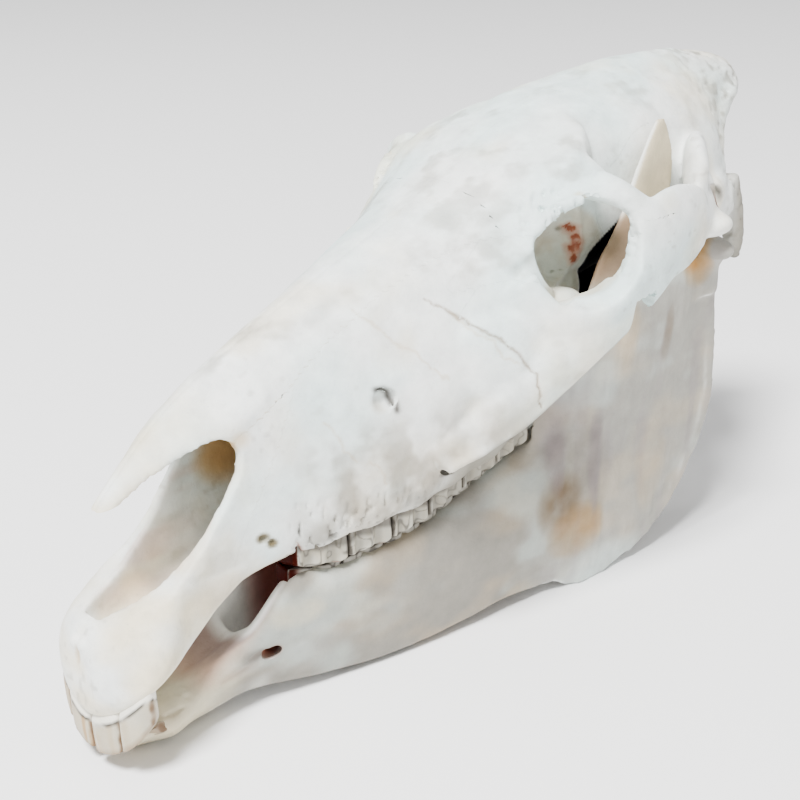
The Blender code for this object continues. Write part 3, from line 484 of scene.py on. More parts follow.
def cranium():
    forms = [
        section_loft("face", FACE),
        section_loft("braincase", BRAINCASE),
        section_loft("nasal", NASAL),
        section_loft("premaxilla", PREMAXILLA),
        sweep("nuchal_bar", ((-27, 461, 262, 6, 6), (-16, 477, 265, 7, 7), (0, 487, 267, 9, 9),
                             (16, 477, 265, 7, 7), (27, 461, 262, 6, 6))),
        sweep("basis", ((0, 470, 188, 17, 9), (0, 430, 180, 16, 10), (0, 380, 174, 14, 10),
                        (0, 330, 166, 12, 12), (0, 290, 156, 12, 14))),
        ball("occiput", (0, 458, 226), (27, 17, 42)),
    ]
    for side in (
        sweep("arch", ARCH),
        sweep("crest_edge", CREST_EDGE),
        sweep("postorbital", POSTORBITAL, up=ORBIT_AXIS),
        sweep("socket_floor", SOCKET_FLOOR),
        sweep("socket_shelf", SOCKET_SHELF),
        side_loft("brow", BROW),
        ball("cheek", (62, 222, 158), (10, 34, 26), turn=(-38, 0, -22)),
        sweep("fin", ((77, 360, 220, 6, 10), (72.5, 365, 233, 6.5, 14), (67.5, 370, 242.5, 6.5, 15),
                      (59, 383, 240, 6.5, 14), (48, 400, 232, 7, 15))),
        ball("dome", (23, 352, 240), (33, 44, 36)),
        sweep("side_crest", ((26, 462, 261, 5, 6), (29, 447, 245, 6, 7), (34, 438, 228, 8, 8),
                             (45, 424, 216, 9, 10), (57, 405, 212, 7, 12))),
        ball("mastoid", (43, 426, 204), (12, 21, 17)),
        sweep("paracondylar", ((38, 446, 214, 9, 12), (42, 450, 196, 7, 11), (45, 452, 178, 6, 8),
                               (46, 452, 164, 4, 5)), up=(0, 1, 0)),
        ball("condyle", (21, 470, 194), (13, 14, 18), turn=(20, 0, 20)),
        ball("glenoid", (72, 376, 206), (20, 15, 8), turn=(0, -6, -18)),
        sweep("postglenoid", ((62, 396, 208, 6, 8), (62, 402, 200, 5, 5), (63, 405, 193, 3, 3)),
              up=(0, 1, 0)),
        ball("tuber", (37, 256, 128), (10, 19, 18)),
        sweep("pterygoid", ((14, 262, 132, 4, 10), (15, 288, 142, 4, 16), (15, 316, 154, 4, 17),
                            (14, 345, 163, 5, 15), (12, 375, 174, 6, 9))),
    ):
        forms += both(side)
    skin = soften(joined("cranium", forms), MELT_ROUNDS)
    lip = [(x + 0.4, y, z - 1.2, 2.3, 1.7) for x, y, z, _, _ in CREST_EDGE]
    skin = soften(joined("cranium", [skin] + both(sweep("crest_lip", lip))), 1)
    out = Vector(ORBIT_AXIS).normalized()
    across = out.cross(Vector((0, 0, 1))).normalized()
    rise = across.cross(out)
    rings = []
    for depth, radius, lift in zip(ORBIT_DEPTHS, ORBIT_RADII, ORBIT_LIFTS):
        centre = Vector(ORBIT_CENTRE) - out * depth + rise * lift
        ring = []
        for turn in np.linspace(0, 2 * math.pi, 28, endpoint=False):
            ring.append(tuple(centre + across * radius * math.cos(turn) + rise * radius * math.sin(turn)))
        rings.append(ring)
    cutters = [
        prism("aperture", APERTURE),
        section_loft("nasal_cavity", NASAL_CAVITY),
        section_loft("vault", PALATE_VAULT),
        ball("foramen_magnum", (0, 486, 205), (15, 26, 15)),
    ]
    cutters += both(loft("orbit", rings))
    cutters += both(sweep("under_crest", UNDER_CREST))
    cutters += both(ball("infraorbital", INFRAORBITAL, (5.5, 9, 6), turn=(-14, 0, 16)))
    cutters += both(ball("ear_opening", EAR_OPENING, (7, 6, 7.5)))
    cutters += both(ball("behind_orbit", (66, 303, 216), (14, 21, 29), turn=(0, -6, -4)))
    carve(skin, cutters)
    skin = soften(joined("cranium", [skin] + socket_forms()), EDGE_ROUNDS)
    carve(skin, foramina())
    return keep_largest(skin)


# Lower jaw: the sections of its lofts, seen from the front for the body and from above for the ramus

CHIN = (
    (13, ((0, 15), (8, 15), (12, 14), (9, 9.5), (0, 5))),
    (17, ((0, 19), (13, 19), (19, 15), (14, 9.5), (0, 0))),
    (23, ((0, 22), (16, 24), (23, 17), (16, 9.5), (0, -2))),
    (34, ((0, 23), (16, 27), (24, 18), (17, 5.5), (0, -3))),
    (48, ((0, 24), (14, 29), (22, 20), (15, 6.5), (0, -3))),
    (66, ((0, 29), (13, 35), (21, 24), (14, 7), (0, -1))),
    (86, ((0, 36), (14, 42), (22, 28), (16, 9), (0, 3))),
)
JAW_BODY = (
    # y, then (x, z) of the outer top, outer side, outer foot, inner foot, inner side, inner top
    (60, ((16, 33), (21, 24), (15, 8), (3, 5), (1, 16), (5, 30))),
    (86, ((22, 44), (23, 28), (17, 9), (8, 7), (6, 22), (11, 40))),
    (108, ((27.5, 65.5), (27, 34), (23, 7), (13, 7), (12, 28), (15.5, 62))),
    (130, ((33, 63), (33, 38), (28, 5), (18, 5), (17, 30), (18, 61))),
    (160, ((37, 65.5), (38, 40), (34, 3), (23, 3), (21, 32), (21, 63))),
    (190, ((40, 69.5), (43, 42), (39, 4), (28, 4), (25, 34), (24, 67.5))),
    (220, ((43, 80.5), (48, 46), (43, 6), (32, 6), (29, 38), (27, 78.5))),
    (250, ((47, 91), (53, 52), (46, 9), (37, 9), (34, 44), (31, 89))),
    (280, ((53, 104), (57, 60), (49, 7), (42, 7), (40, 50), (38, 102))),
)
RAMUS = (
    # z, then (x, y) of the front edge, outer front, outer back, back edge, inner back, inner front
    (-3, ((49, 296), (53, 304), (55, 320), (52, 330), (48, 320), (47, 304))),
    (6, ((48, 279), (54, 296), (57, 328), (54, 352), (48, 332), (45, 296))),
    (22, ((49, 263), (56, 294), (60, 341), (56, 373), (51, 348), (46, 294))),
    (42, ((50, 256), (58, 296), (61, 358), (58, 391), (53, 360), (48, 296))),
    (64, ((49, 256), (58, 300), (62, 368), (60, 402), (55, 368), (48, 300))),
    (90, ((48, 257), (58, 306), (63, 374), (62, 408), (56, 374), (49, 306))),
    (116, ((47.5, 260), (60, 312), (64, 376), (63, 410), (57, 376), (51, 314))),
    (144, ((53, 273), (63, 316), (66, 376), (65, 406), (59, 376), (54, 322))),
    (168, ((58, 283), (65, 322), (68, 374), (67, 400), (61, 374), (57, 324))),
    (184, ((59, 293), (66, 322), (67, 366), (69, 396), (62, 368), (59, 324))),
)
CORONOID = (
    # z, then (x, y) of its front edge, outer front, outer back, back edge, inner back, inner front
    (150, ((56, 279), (61, 296), (62, 330), (63, 345), (58, 330), (55, 304))),
    (184, ((59, 290), (63, 297), (65, 332), (66, 354), (61, 334), (58, 299))),
    (198, ((59.5, 297), (63.5, 304), (65, 335), (65, 356), (61, 337), (58.5, 306))),
    (212, ((60, 308), (64, 316), (64.5, 339), (63, 359), (60.5, 340), (59, 317))),
    (240, ((60, 324), (63, 329), (63, 345), (61, 360), (60, 346), (59, 329))),
    (254, ((59.5, 333), (62, 336), (62, 347), (60.5, 358), (59, 347), (58.5, 336))),
    (262, ((59, 339), (61.5, 341), (61.5, 347), (60, 353), (58.5, 347), (58, 342))),
    (267, ((59, 343), (60.5, 344), (61, 347), (60.5, 350), (59, 347.5), (58.5, 345))),
)
LEFT_REACH = 1.02  # how far each coronoid rises over its foot, beside the drawn one
RIGHT_REACH = 0.80
CORONOID_FOOT = 212


def lower_jaw():
    forms = [section_loft("chin", CHIN)]
    for side in (
        side_loft("jaw_body", JAW_BODY),
        side_loft("ramus", RAMUS, axis=2),
        ball("jaw_condyle", (69, 388, 189), (20, 9, 7.5), turn=(0, -4, -14)),
        sweep("neck", ((66, 391, 160, 6, 11), (67, 390, 176, 7, 10), (69, 389, 188, 12, 8)),
              up=(0, 1, 0)),
        sweep("angle_rim", ((51, 300, 0, 4, 3), (53, 336, 4, 4, 4), (56, 366, 18, 4.5, 5),
                            (59, 391, 48, 4.5, 5), (62, 404, 84, 4.5, 5), (63, 405, 116, 4, 5),
                            (64.5, 401, 142, 4, 5), (65.5, 396, 164, 3.5, 4))),
    ):
        forms += both(side)
    for side, reach in ((1, LEFT_REACH), (-1, RIGHT_REACH)):
        blade = []
        for z, ring in CORONOID:
            height = z if z < CORONOID_FOOT else CORONOID_FOOT + (z - CORONOID_FOOT) * reach
            blade.append((height, [(side * x, y) for x, y in ring]))
        forms.append(side_loft("coronoid", blade, axis=2))
    skin = soften(joined("lower_jaw", forms), MELT_ROUNDS)
    groove = Vector(MENTAL) + Vector((2.4, -9, 1.5))
    carve(skin, both(ball("mental_groove", groove, (3.4, 9, 3.0), turn=(8, 0, 4))))
    soften(skin, 2)
    mouth = Vector(MENTAL) + Vector((-1, 3, 1))
    carve(skin, both(ball("mental", mouth, (4.8, 9, 4.6), turn=(8, 0, 24))))
    return keep_largest(skin)


# Teeth: their rows on the drawing, and the loops that set them

CHEEK_ENDS = (104, 136, 163, 188, 211, 235, 259)  # y of the joints between the cheek teeth
ROW_Y = (104, 132, 163, 189, 227, 260)
ROW_X = (30, 35, 39.5, 41.5, 45.5, 48)  # the upper row's outer face
ROW_WIDTH = (15, 17, 18, 19, 19, 17)
BITE_Y = (104, 125, 150, 175, 190, 206, 228, 253, 262)
BITE_Z = (73, 69, 70, 72.5, 75.5, 82, 89.5, 97.5, 101)  # where the rows meet
BITE_GAP = 0.6  # half the space between the rows
LOWER_INSET = 5.5  # how far the lower row stands inside the upper one
LOWER_WIDTH = 11.0
INCISOR_ENDS = (0.4, 20.0, 35.0)  # x of the joints between the upper front teeth
NECK_LINE = ((0, -1, 24), (10, -0.5, 27), (20, 1.5, 32), (29, 5.5, 40), (36.5, 11.5, 49))  # the gum edge
EDGE_LINE = ((0, 0.5, 6.5), (10, 1, 8.5), (20, 2.5, 13), (29, 7, 20.5), (37, 15, 36))  # the biting edge
UPPER_LEAN = (1.0, 0.12)  # the way, in y and z, from a tooth's outer face to its inner one
LOWER_ENDS = (0.4, 8.8, 16.8, 24.0)
LOWER_NECK = ((0, 16, 6), (12, 18.5, 9), (24.5, 26.5, 15.5))
LOWER_EDGE = ((0, 10, 9.5), (12, 13, 13), (25, 21.5, 20.5))
LOWER_LEAN = (0.35, 0.95)
TOOTH_RING = 200  # points round a grinding tooth
TOOTH_LEVELS = 25  # rings over the part of it that shows
TOOTH_SLACK = 0.22  # the gap that a grinding tooth keeps to each joint
TOOTH_TAPER = (
    # the height over its biting edge, its share of the full width, and how far it leans inwards
    (0.0, 0.93, 0.0), (0.8, 0.985, 0.0), (2.5, 1.0, 0.0), (6, 1.0, 0.1), (10, 0.995, 0.3), (14, 0.98, 0.7),
    (18, 0.96, 1.4), (22, 0.94, 2.4), (27, 0.90, 4.0),
)
ROOT_END = 1.7  # where a cutting tooth's root ends, with the biting edge at 0 and the gum line at 1


def bite(y):
    return hermite(BITE_Y, BITE_Z, y).ravel()


def row_at(values, y):
    return hermite(ROW_Y, values, y).ravel()


def styles(along, upper):
    """How deep the outer face of a grinding tooth folds in: upper teeth have three upright ribs with
    hollows between them, lower teeth have two round lobes with a groove between them."""
    if upper:
        return 0.20 * np.sin(math.pi * (along - 0.06) / 0.44) ** 2
    return 0.20 * np.exp(-(((along - 0.52) / 0.075) ** 2)) + 0.12 * (2 * along - 1) ** 4


def cheek_tooth(name, start, end, upper):
    """One grinding tooth, from its root in the bone down to its worn, cusped edge."""
    along = np.linspace(0.03, 0.97, 25)
    outer = np.stack([along, 0.02 + styles(along, upper)], 1)
    inner = np.stack([along[::-3], 0.97 - 0.06 * np.cos(4 * math.pi * along[::-3])], 1)
    back_end, front_end = ((1.0, 0.12), (1.0, 0.5), (0.99, 0.84)), ((0.01, 0.84), (0.0, 0.5), (0.0, 0.12))
    ring = closed_curve(np.vstack([outer, back_end, inner, front_end]), TOOTH_RING)
    y = start + TOOTH_SLACK + (end - start - 2 * TOOTH_SLACK) * ring[:, 0]
    face = row_at(ROW_X, y) - (0 if upper else LOWER_INSET)
    width = row_at(ROW_WIDTH, y) if upper else np.full(len(y), LOWER_WIDTH)
    way = 1 if upper else -1
    edge = bite(y) + way * BITE_GAP
    cusps = 1.1 * (1 - np.cos(4 * math.pi * (ring[:, 0] - 0.28))) * np.clip(1.4 - 2 * ring[:, 1], 0, 1)
    middle = (start + end) / 2
    rises, narrows, leans = zip(*TOOTH_TAPER)
    rings = []
    for rise in (0.0, 0.4, 0.8, 1.4, *np.linspace(2, 14, TOOTH_LEVELS), 18, 22, 27):
        narrow = np.interp(rise, rises, narrows)
        lean = np.interp(rise, rises, leans)
        across = 0.5 + (ring[:, 1] - 0.5) * narrow
        reach = cusps * math.exp(-rise / 5) * (1 if upper else 0.4)
        points = np.stack([
            face - (lean if upper else lean * 0.3) - width * across,
            middle + (y - middle) * (1 - (1 - narrow) * 0.5),
            edge + way * (rise + reach),
        ], 1)
        rings.append(points)
    return loft(name, rings)


def front_tooth(name, ends, lines, lean, root, thickness):
    """One cutting tooth: its outer face follows the edge and neck lines, and its root runs into the
    jaw. The root's shift in x grows with the distance from the middle plane."""
    start, end = ends
    edge, neck = lines
    middle = (start + end) / 2
    share = middle / INCISOR_ENDS[-1]
    turn = np.linspace(0, 2 * math.pi, 72, endpoint=False)
    round_x = np.sign(np.cos(turn)) * np.abs(np.cos(turn)) ** 0.38
    round_y = np.sign(np.sin(turn)) * np.abs(np.sin(turn)) ** 0.62
    rings = []
    for level in np.linspace(0, ROOT_END, 18):
        down = min(level, 1.0)
        run = max(level - 1.0, 0) / 0.7
        if level <= 1:
            deep = thickness[0] + (thickness[1] - thickness[0]) * down
        else:
            deep = thickness[1] * (1 - run) + thickness[2] * run
        deep *= 1 - 0.45 * math.exp(-level * 14)
        taper = (1 - 0.05 * math.exp(-level * 16)) * (1 - 0.16 * run)
        x = middle + (end - start) / 2 * round_x * taper
        at = np.clip(x, 0, 40)
        low = hermite([p[0] for p in edge], [p[1:] for p in edge], at)
        high = hermite([p[0] for p in neck], [p[1:] for p in neck], at)
        place = low + (high - low) * down
        crown = math.sin(math.pi * down * 0.75 + 0.5)
        bulge = 1.3 * (1 - ((x - middle) / (end - start) * 2) ** 2) * crown
        inward = (1 - round_y) / 2 * deep
        ribs = 0.12 * np.sin((x - start) * 2.1) * (round_y > 0.2)
        points = np.stack([
            x - (inward * 0.35 * share) + root[0] * share * run,
            place[:, 0] - bulge * (round_y + 1) / 2 + lean[0] * inward + ribs + root[1] * run,
            place[:, 1] + lean[1] * inward + root[2] * run,
        ], 1)
        points[:, 0] = np.maximum(points[:, 0], 0.15)
        rings.append(points)
    return loft(name, rings)


# Sutures: the outline of each bone from the side, as (y, z), and the x where it starts

SIDES = ((1, "left"), (-1, "right"))
PAST_SIDE = 150  # past the widest point of the skull
PREMAXILLA_EDGE = (
    (-60, -20), (62, -20), (62, 63), (72, 92), (86, 120), (98, 146), (110, 170), (98, 163), (86, 156),
    (74, 150), (56, 138), (-60, 112),
)
NASAL_EDGE = (
    (-60, 90), (40, 134), (60, 147), (78, 150), (92, 159), (110, 171), (130, 184), (160, 199),
    (190, 211.5), (214, 219), (232, 222), (232, 330), (-60, 330),
)
TEMPORAL_EDGE = (
    (292, 221), (294, 228), (312, 228), (318, 262), (400, 262), (440, 244), (440, 150), (305, 150),
    (301, 181),
)
TEMPORAL_DEPTH = 49
BRAINCASE_EDGE = (
    (322, 400), (322, 232), (304, 190), (284, 186), (284, -20), (620, -20), (620, 400),
)
OCCIPITAL_EDGE = (
    (470, 400), (468, 290), (452, 262), (434, 236), (418, 205), (418, -20), (620, -20), (620, 400),
)
CHEEK_EDGE = (
    (186, 197), (204, 183), (218, 171), (228, 156), (232, 137), (237, 123), (252, 116), (272, 134),
    (334, 166), (330, 228), (282, 228), (262, 213), (244, 203),
)
CHEEK_DEPTH = 50
TEAR_EDGE = ((192, 209), (200, 198.5), (244, 203), (262, 206), (262, 218), (243, 222), (222, 222))
TEAR_DEPTH = 42
FRONTAL_EDGE = ((232, 400), (232, 221), (243, 221), (262, 188), (340, 188), (340, 400))


def grown(outline, by):
    """An outline with each side moved outwards."""
    points = [Vector(p) for p in outline]
    area = sum(a.x * b.y - b.x * a.y for a, b in zip(points, points[1:] + points[:1]))
    turn = 1 if area > 0 else -1
    moved = []
    for before, here, after in zip(points[-1:] + points[:-1], points, points[1:] + points[:1]):
        first = (here - before).normalized()
        second = (after - here).normalized()
        one = Vector((first.y, -first.x)) * turn
        two = Vector((second.y, -second.x)) * turn
        corner = (one + two).normalized()
        moved.append(here + corner * by / max(0.8, corner.dot(one)))
    return moved


def shared(name, whole, cutter):
    """A new piece: what a thing shares with a cutter."""
    return keep_largest(combined(placed(name, whole.data.copy()), cutter, "INTERSECT"))


def serrated(outline, phase):
    """The same outline with the fine teeth of a suture along its sides."""
    made = []
    for here, there in zip(outline, outline[1:] + outline[:1]):
        here, there = Vector(here), Vector(there)
        run = there - here
        if run.length > 200:
            made.append(here)
            continue
        steps = max(1, round(run.length / (SUTURE_PITCH / 4)))
        off = Vector((-run.y, run.x)).normalized()
        for k in range(steps):
            s = run.length * k / steps
            wave = math.sin(2 * math.pi * s / SUTURE_PITCH + phase + 1.3 * math.sin(s / 7 + phase))
            wave += 0.5 * math.sin(s * 2.9 + phase * 2)
            fade_in = min(1.0, min(s, run.length - s) / 3)
            spot = here + run * (k / steps)
            if spot.x < FREE_EDGE and spot.y > 100:
                fade_in = 0.0
            made.append(spot + off * (SUTURE_DEPTH * wave * fade_in))
    return made


def split_off(whole, name, outline, low=-PAST_SIDE, high=PAST_SIDE, phase=0.0):
    """Takes a bone out of the whole along its serrated outline."""
    line = serrated(outline, phase)
    bone = shared(name, whole, prism("edge", line, low, high))
    lower = low - SUTURE_GAP if low > -PAST_SIDE else low
    upper = high + SUTURE_GAP if high < PAST_SIDE else high
    carve(whole, [prism("gap", grown(line, SUTURE_GAP), lower, upper)])
    return bone


def reach_of(side, depth):
    """From a depth beside the middle plane out past that side, as the lower and the higher x."""
    return (depth, PAST_SIDE) if side > 0 else (-PAST_SIDE, -depth)


def half(whole, name, side):
    """One side of a thing, half a gap away from the middle plane."""
    outline = [(-200, -200), (800, -200), (800, 500), (-200, 500)]
    return shared(name, whole, prism("side", outline, *reach_of(side, SUTURE_GAP / 2)))


# Relief and colour: what is worked into the skins, point by point


def lattice(x, y, z, seed):
    mix = (x * 374761393 + y * 668265263 + z * 974634777 + seed * 144665).astype(np.uint32)
    mix = (mix ^ (mix >> np.uint32(13))) * np.uint32(1274126177)
    return ((mix ^ (mix >> np.uint32(16))) & np.uint32(0xFFFFFF)).astype(float) / 0x7FFFFF - 1


def noise(points, size, seed=0):
    """Smooth noise from -1 to 1, in lumps of that size, which may differ along x, y and z."""
    spots = points / np.asarray(size, float)
    cell = np.floor(spots).astype(np.int64)
    part = spots - cell
    part = part * part * (3 - 2 * part)
    total = 0
    for dx in (0, 1):
        for dy in (0, 1):
            for dz in (0, 1):
                weight = (part[:, 0] if dx else 1 - part[:, 0]) * (part[:, 1] if dy else 1 - part[:, 1])
                weight = weight * (part[:, 2] if dz else 1 - part[:, 2])
                total = total + weight * lattice(cell[:, 0] + dx, cell[:, 1] + dy, cell[:, 2] + dz, seed)
    return total


def clouds(points, size, octaves=3, seed=0):
    total, weight = 0, 1.0
    for k in range(octaves):
        total = total + weight * noise(points, np.asarray(size, float) / 2**k, seed + 17 * k)
        weight /= 2
    return total / 1.6


def fade(value, low, high):
    """0 below low, 1 above high, smooth between them. It also runs down when high is below low."""
    part = np.clip((value - low) / (high - low), 0, 1)
    return part * part * (3 - 2 * part)


def span(value, low, start, end, high):
    """1 from start to end, falling to 0 at low and at high."""
    return fade(value, low, start) * fade(value, high, end)


def near(points, centre, radii):
    """1 at a centre, falling to 0 at an ellipsoid of those radii, on both sides of the skull."""
    far = (points - np.asarray(centre, float)) / np.asarray(radii, float)
    return fade((far**2).sum(1), 1.0, 0.0)


def along_line(points, line, width):
    """1 on a line drawn on the side view, as (y, z) points, and 0 a width away from it."""
    best = np.full(len(points), 1e9)
    for a, b in zip(line, line[1:]):
        a, b = np.array(a, float), np.array(b, float)
        run = b - a
        rel = points[:, 1:] - a
        part = np.clip(rel @ run / (run @ run), 0, 1)
        best = np.minimum(best, ((rel - part[:, None] * run) ** 2).sum(1))
    return np.exp(-best / width**2)


def pull(mesh):
    """A mesh's points, their normals, the points folded over to the left side, and how far each
    normal turns away from the middle plane."""
    points, normals = np.empty((2, len(mesh.vertices) * 3))
    mesh.vertices.foreach_get("co", points)
    mesh.vertex_normals.foreach_get("vector", normals)
    points, normals = points.reshape(-1, 3), normals.reshape(-1, 3)
    folded = points * 1.0
    folded[:, 0] = np.abs(folded[:, 0])
    return points, normals, folded, normals[:, 0] * np.sign(points[:, 0])


def push(mesh, points):
    mesh.vertices.foreach_set("co", points.ravel())
    mesh.update()


def tooth_part(y):
    """How far along its cheek tooth each y lies, from 0 to 1."""
    ends = np.array(CHEEK_ENDS, float)
    k = np.clip(np.searchsorted(ends, y) - 1, 0, len(ends) - 2)
    return np.clip((y - ends[k]) / (ends[k + 1] - ends[k]), 0, 1)


def tooth_fold(y):
    """1 in the two hollows of each cheek tooth's outer face, and 0 on its ribs."""
    return np.sin(math.pi * (tooth_part(y) - 0.06) / 0.44) ** 2


def tooth_swell(y):
    """1 over the middle of each cheek tooth and 0 over the joints between them."""
    return np.sin(math.pi * tooth_part(y)) ** 2


PIT_SPOTS = (
    # x, y, z, radii and depth of small pits and hollows
    ((27.8, 87.0, 97), (2.6, 2.6, 2.2), 2.4),
    ((29, 91.0, 94.5), (2.2, 2.4, 2.0), 2.2),
    ((27.5, 89.0, 93.5), (1.4, 1.4, 1.4), 1.0),
    ((3, -1, 66), (3.4, 6, 4), -1.3),
    ((0, -1, 60), (1.6, 6, 6), 1.3),
    ((24, 34, 78), (9, 14, 9), 0.8),
    ((45, 138, 176), (10, 34, 16), 1.3),
    ((40.2, 296, 212.3), (3.4, 3.4, 2.6), 2.0),
    ((42.5, 300, 205), (2.8, 3.0, 4.6), 1.8),
    ((39.4, 300.3, 197), (3.0, 3.2, 4.0), 1.5),
    ((58, 190, 150), (12, 34, 22), -0.8),
    ((40, 408, 262), (10, 12, 10), 0.9),
)
FACE_GROOVE = ((112, 181), (128, 192), (146, 201), (166, 205))
CHEEK_CRACK = ((186, 197), (204, 183), (218, 171), (228, 156), (232, 137))
SOCKET_CREASE = ((296, 246), (300, 226), (303, 206))
TEMPLE_LINE = ((296, 262), (330, 276), (380, 283), (430, 284), (470, 274))
HAIRLINES = (
    # fine cracks, as (y, z) on the side view
    ((150, 196), (158, 188), (163, 180), (172, 176), (178, 166), (186, 160)),
    ((196, 190), (201, 182), (209, 176), (212, 168), (220, 163)),
    ((120, 150), (126, 143), (128, 134), (134, 128)),
    ((140, 126), (147, 120), (149, 112)),
)


def work_cranium(skin):
    """The relief of the cranium's surface."""
    points, normals, folded, outward = pull(skin.data)
    x, y, z = folded.T
    rise = 0.30 * noise(points, 16, 1) + 0.13 * noise(points, 6, 2)
    # the tooth sockets swell over each root, and their margin is porous
    height = z - bite(np.clip(y, 104, 262))
    margin = span(y, 98, 106, 256, 268) * fade(height, 6, 12) * fade(height, 46, 26) * fade(outward, 0.1, 0.5)
    rise += margin * (1.3 * tooth_swell(y) - 0.5)
    porous = margin * fade(y, 200, 150)
    strokes = noise(points, (2.2, 1.7, 5.0), 3) + 0.5 * noise(points, (1.6, 1.4, 2.6), 8)
    rise -= porous * 2.0 * fade(strokes, 0.15, 0.7)
    edge = span(height, 3.5, 6, 8, 16) * fade(y, 98, 104) * fade(y, 268, 256) * fade(outward, -0.2, 0.3)
    rise -= edge * 0.8 * fade(noise(points, (2.4, 1.6, 2.4), 9), 0.1, 0.7)
    # the back of the head is rough where the neck's muscles held
    back = fade(y, 408, 446)
    rise += back * 0.45 * noise(points, 4.5, 4)
    rise -= back * 1.0 * fade(noise(points, 3.0, 5), 0.3, 0.75)
    # grooves, lines and cracks
    rise -= 0.6 * along_line(folded, FACE_GROOVE, 3.0) * fade(outward, -0.2, 0.3)
    wander = folded + np.stack([x * 0, 1.3 * noise(points, 3.0, 18), 1.3 * noise(points, 3.0, 19)], 1)
    rise -= 0.55 * along_line(wander, CHEEK_CRACK, 0.9) * fade(outward, 0.1, 0.4)
    rise -= 0.55 * np.exp(-((x / 1.2) ** 2)) * fade(normals[:, 2], 0.3, 0.6) * fade(y, 232, 200)
    rise += 0.8 * along_line(folded, TEMPLE_LINE, 2.6) * fade(y, 285, 300) * fade(outward, -0.2, 0.3)
    crease = along_line(folded, SOCKET_CREASE, 3.0) * fade(x, 60, 52) * fade(outward, 0.1, 0.5)
    rise -= 0.9 * crease
    for centre, radii, depth in PIT_SPOTS:
        rise -= depth * near(folded, centre, radii)
    # the socket's brow is ragged
    brow = near(folded, (62, 254, 232), (20, 24, 16))
    rise -= brow * 2.6 * fade(noise(points, (2.6, 2.0, 6.0), 6), 0.05, 0.55)
    rim = near(folded, (82, 290, 214), (14, 22, 30))
    rise -= rim * 0.9 * fade(noise(points, (3.0, 2.2, 2.0), 7), 0.1, 0.6)
    push(skin.data, points + normals * rise[:, None])


def work_jaw(skin):
    """The relief of the lower jaw's surface."""
    points, normals, folded, outward = pull(skin.data)
    x, y, z = folded.T
    rise = 0.25 * noise(points, 15, 11) + 0.12 * noise(points, 6, 12)
    # muscle marks run down the ramus, and the angle's margin is rough
    plate = fade(y, 258, 282) * fade(z, 200, 170)
    marks = 0.55 * noise(points, (8, 6, 30), 13) + 0.3 * noise(points, (4, 3, 12), 16)
    rise += plate * fade(outward, 0.2, 0.6) * marks
    margin = plate * fade(np.abs(outward), 0.95, 0.5) * fade(z, 175, 140)
    rise += margin * 0.9 * noise(points, (5, 4, 4), 14)
    rise -= margin * 0.8 * fade(noise(points, 2.6, 17), 0.3, 0.7)
    rise -= plate * 1.3 * near(folded, (62, 330, 66), (12, 36, 44))
    for y_line in (287, 303):
        line = ((y_line, 40), (y_line + 3, 70), (y_line + 6, 100))
        ridge = along_line(folded, line, 3.0) * fade(outward, 0.2, 0.6)
        rise += 0.7 * ridge * (1 if y_line > 300 else -1)
    # sockets of the lower teeth
    height = bite(np.clip(y, 104, 262)) - z
    socket = fade(y, 98, 108) * fade(y, 268, 258) * fade(height, 3, 9) * fade(height, 32, 18)
    rise += socket * fade(outward, 0.1, 0.5) * (0.7 * tooth_swell(y) - 0.3)
    # the groove before the mental foramen, and the chin's small pits
    rise -= 1.3 * along_line(folded, ((64, 23), (84, 27)), 2.8) * fade(outward, 0.1, 0.5)
    chin = fade(y, 60, 40)
    rise -= chin * 0.9 * fade(noise(points, 2.8, 15), 0.3, 0.7)
    push(skin.data, points + normals * rise[:, None])


BRIGHTEST = 0.85  # the tone that the contrast leaves as it is
CONTRAST = 2.1  # the power by which darker tones are deepened
WHITE = (0.84, 0.85, 0.835)
COOL = (0.74, 0.815, 0.81)
CREAM = (0.80, 0.73, 0.58)
GREY = (0.42, 0.40, 0.355)
BEIGE = (0.66, 0.57, 0.45)
BROWN = (0.34, 0.25, 0.17)
OCHRE = (0.58, 0.35, 0.08)
PINK = (0.64, 0.44, 0.37)
RED_BROWN = (0.45, 0.24, 0.20)
RUST = (0.50, 0.26, 0.18)
VIOLET = (0.42, 0.38, 0.38)
# near black, laid on as painted shade and painted shadow
SHADE_BLACK = (0.03, 0.025, 0.02)
# the lower jaw's ground: greyer bone, darkened further as painted shade for the shade it lies in under the
# cranium
JAW = (0.475, 0.46, 0.425)
INK = (0.17, 0.155, 0.14)
TAN = (0.50, 0.38, 0.27)
OLIVE = (0.27, 0.22, 0.12)
HOLE = (0.16, 0.045, 0.026)
ENAMEL = (0.80, 0.785, 0.72)
FRONT_ENAMEL = (0.76, 0.73, 0.65)
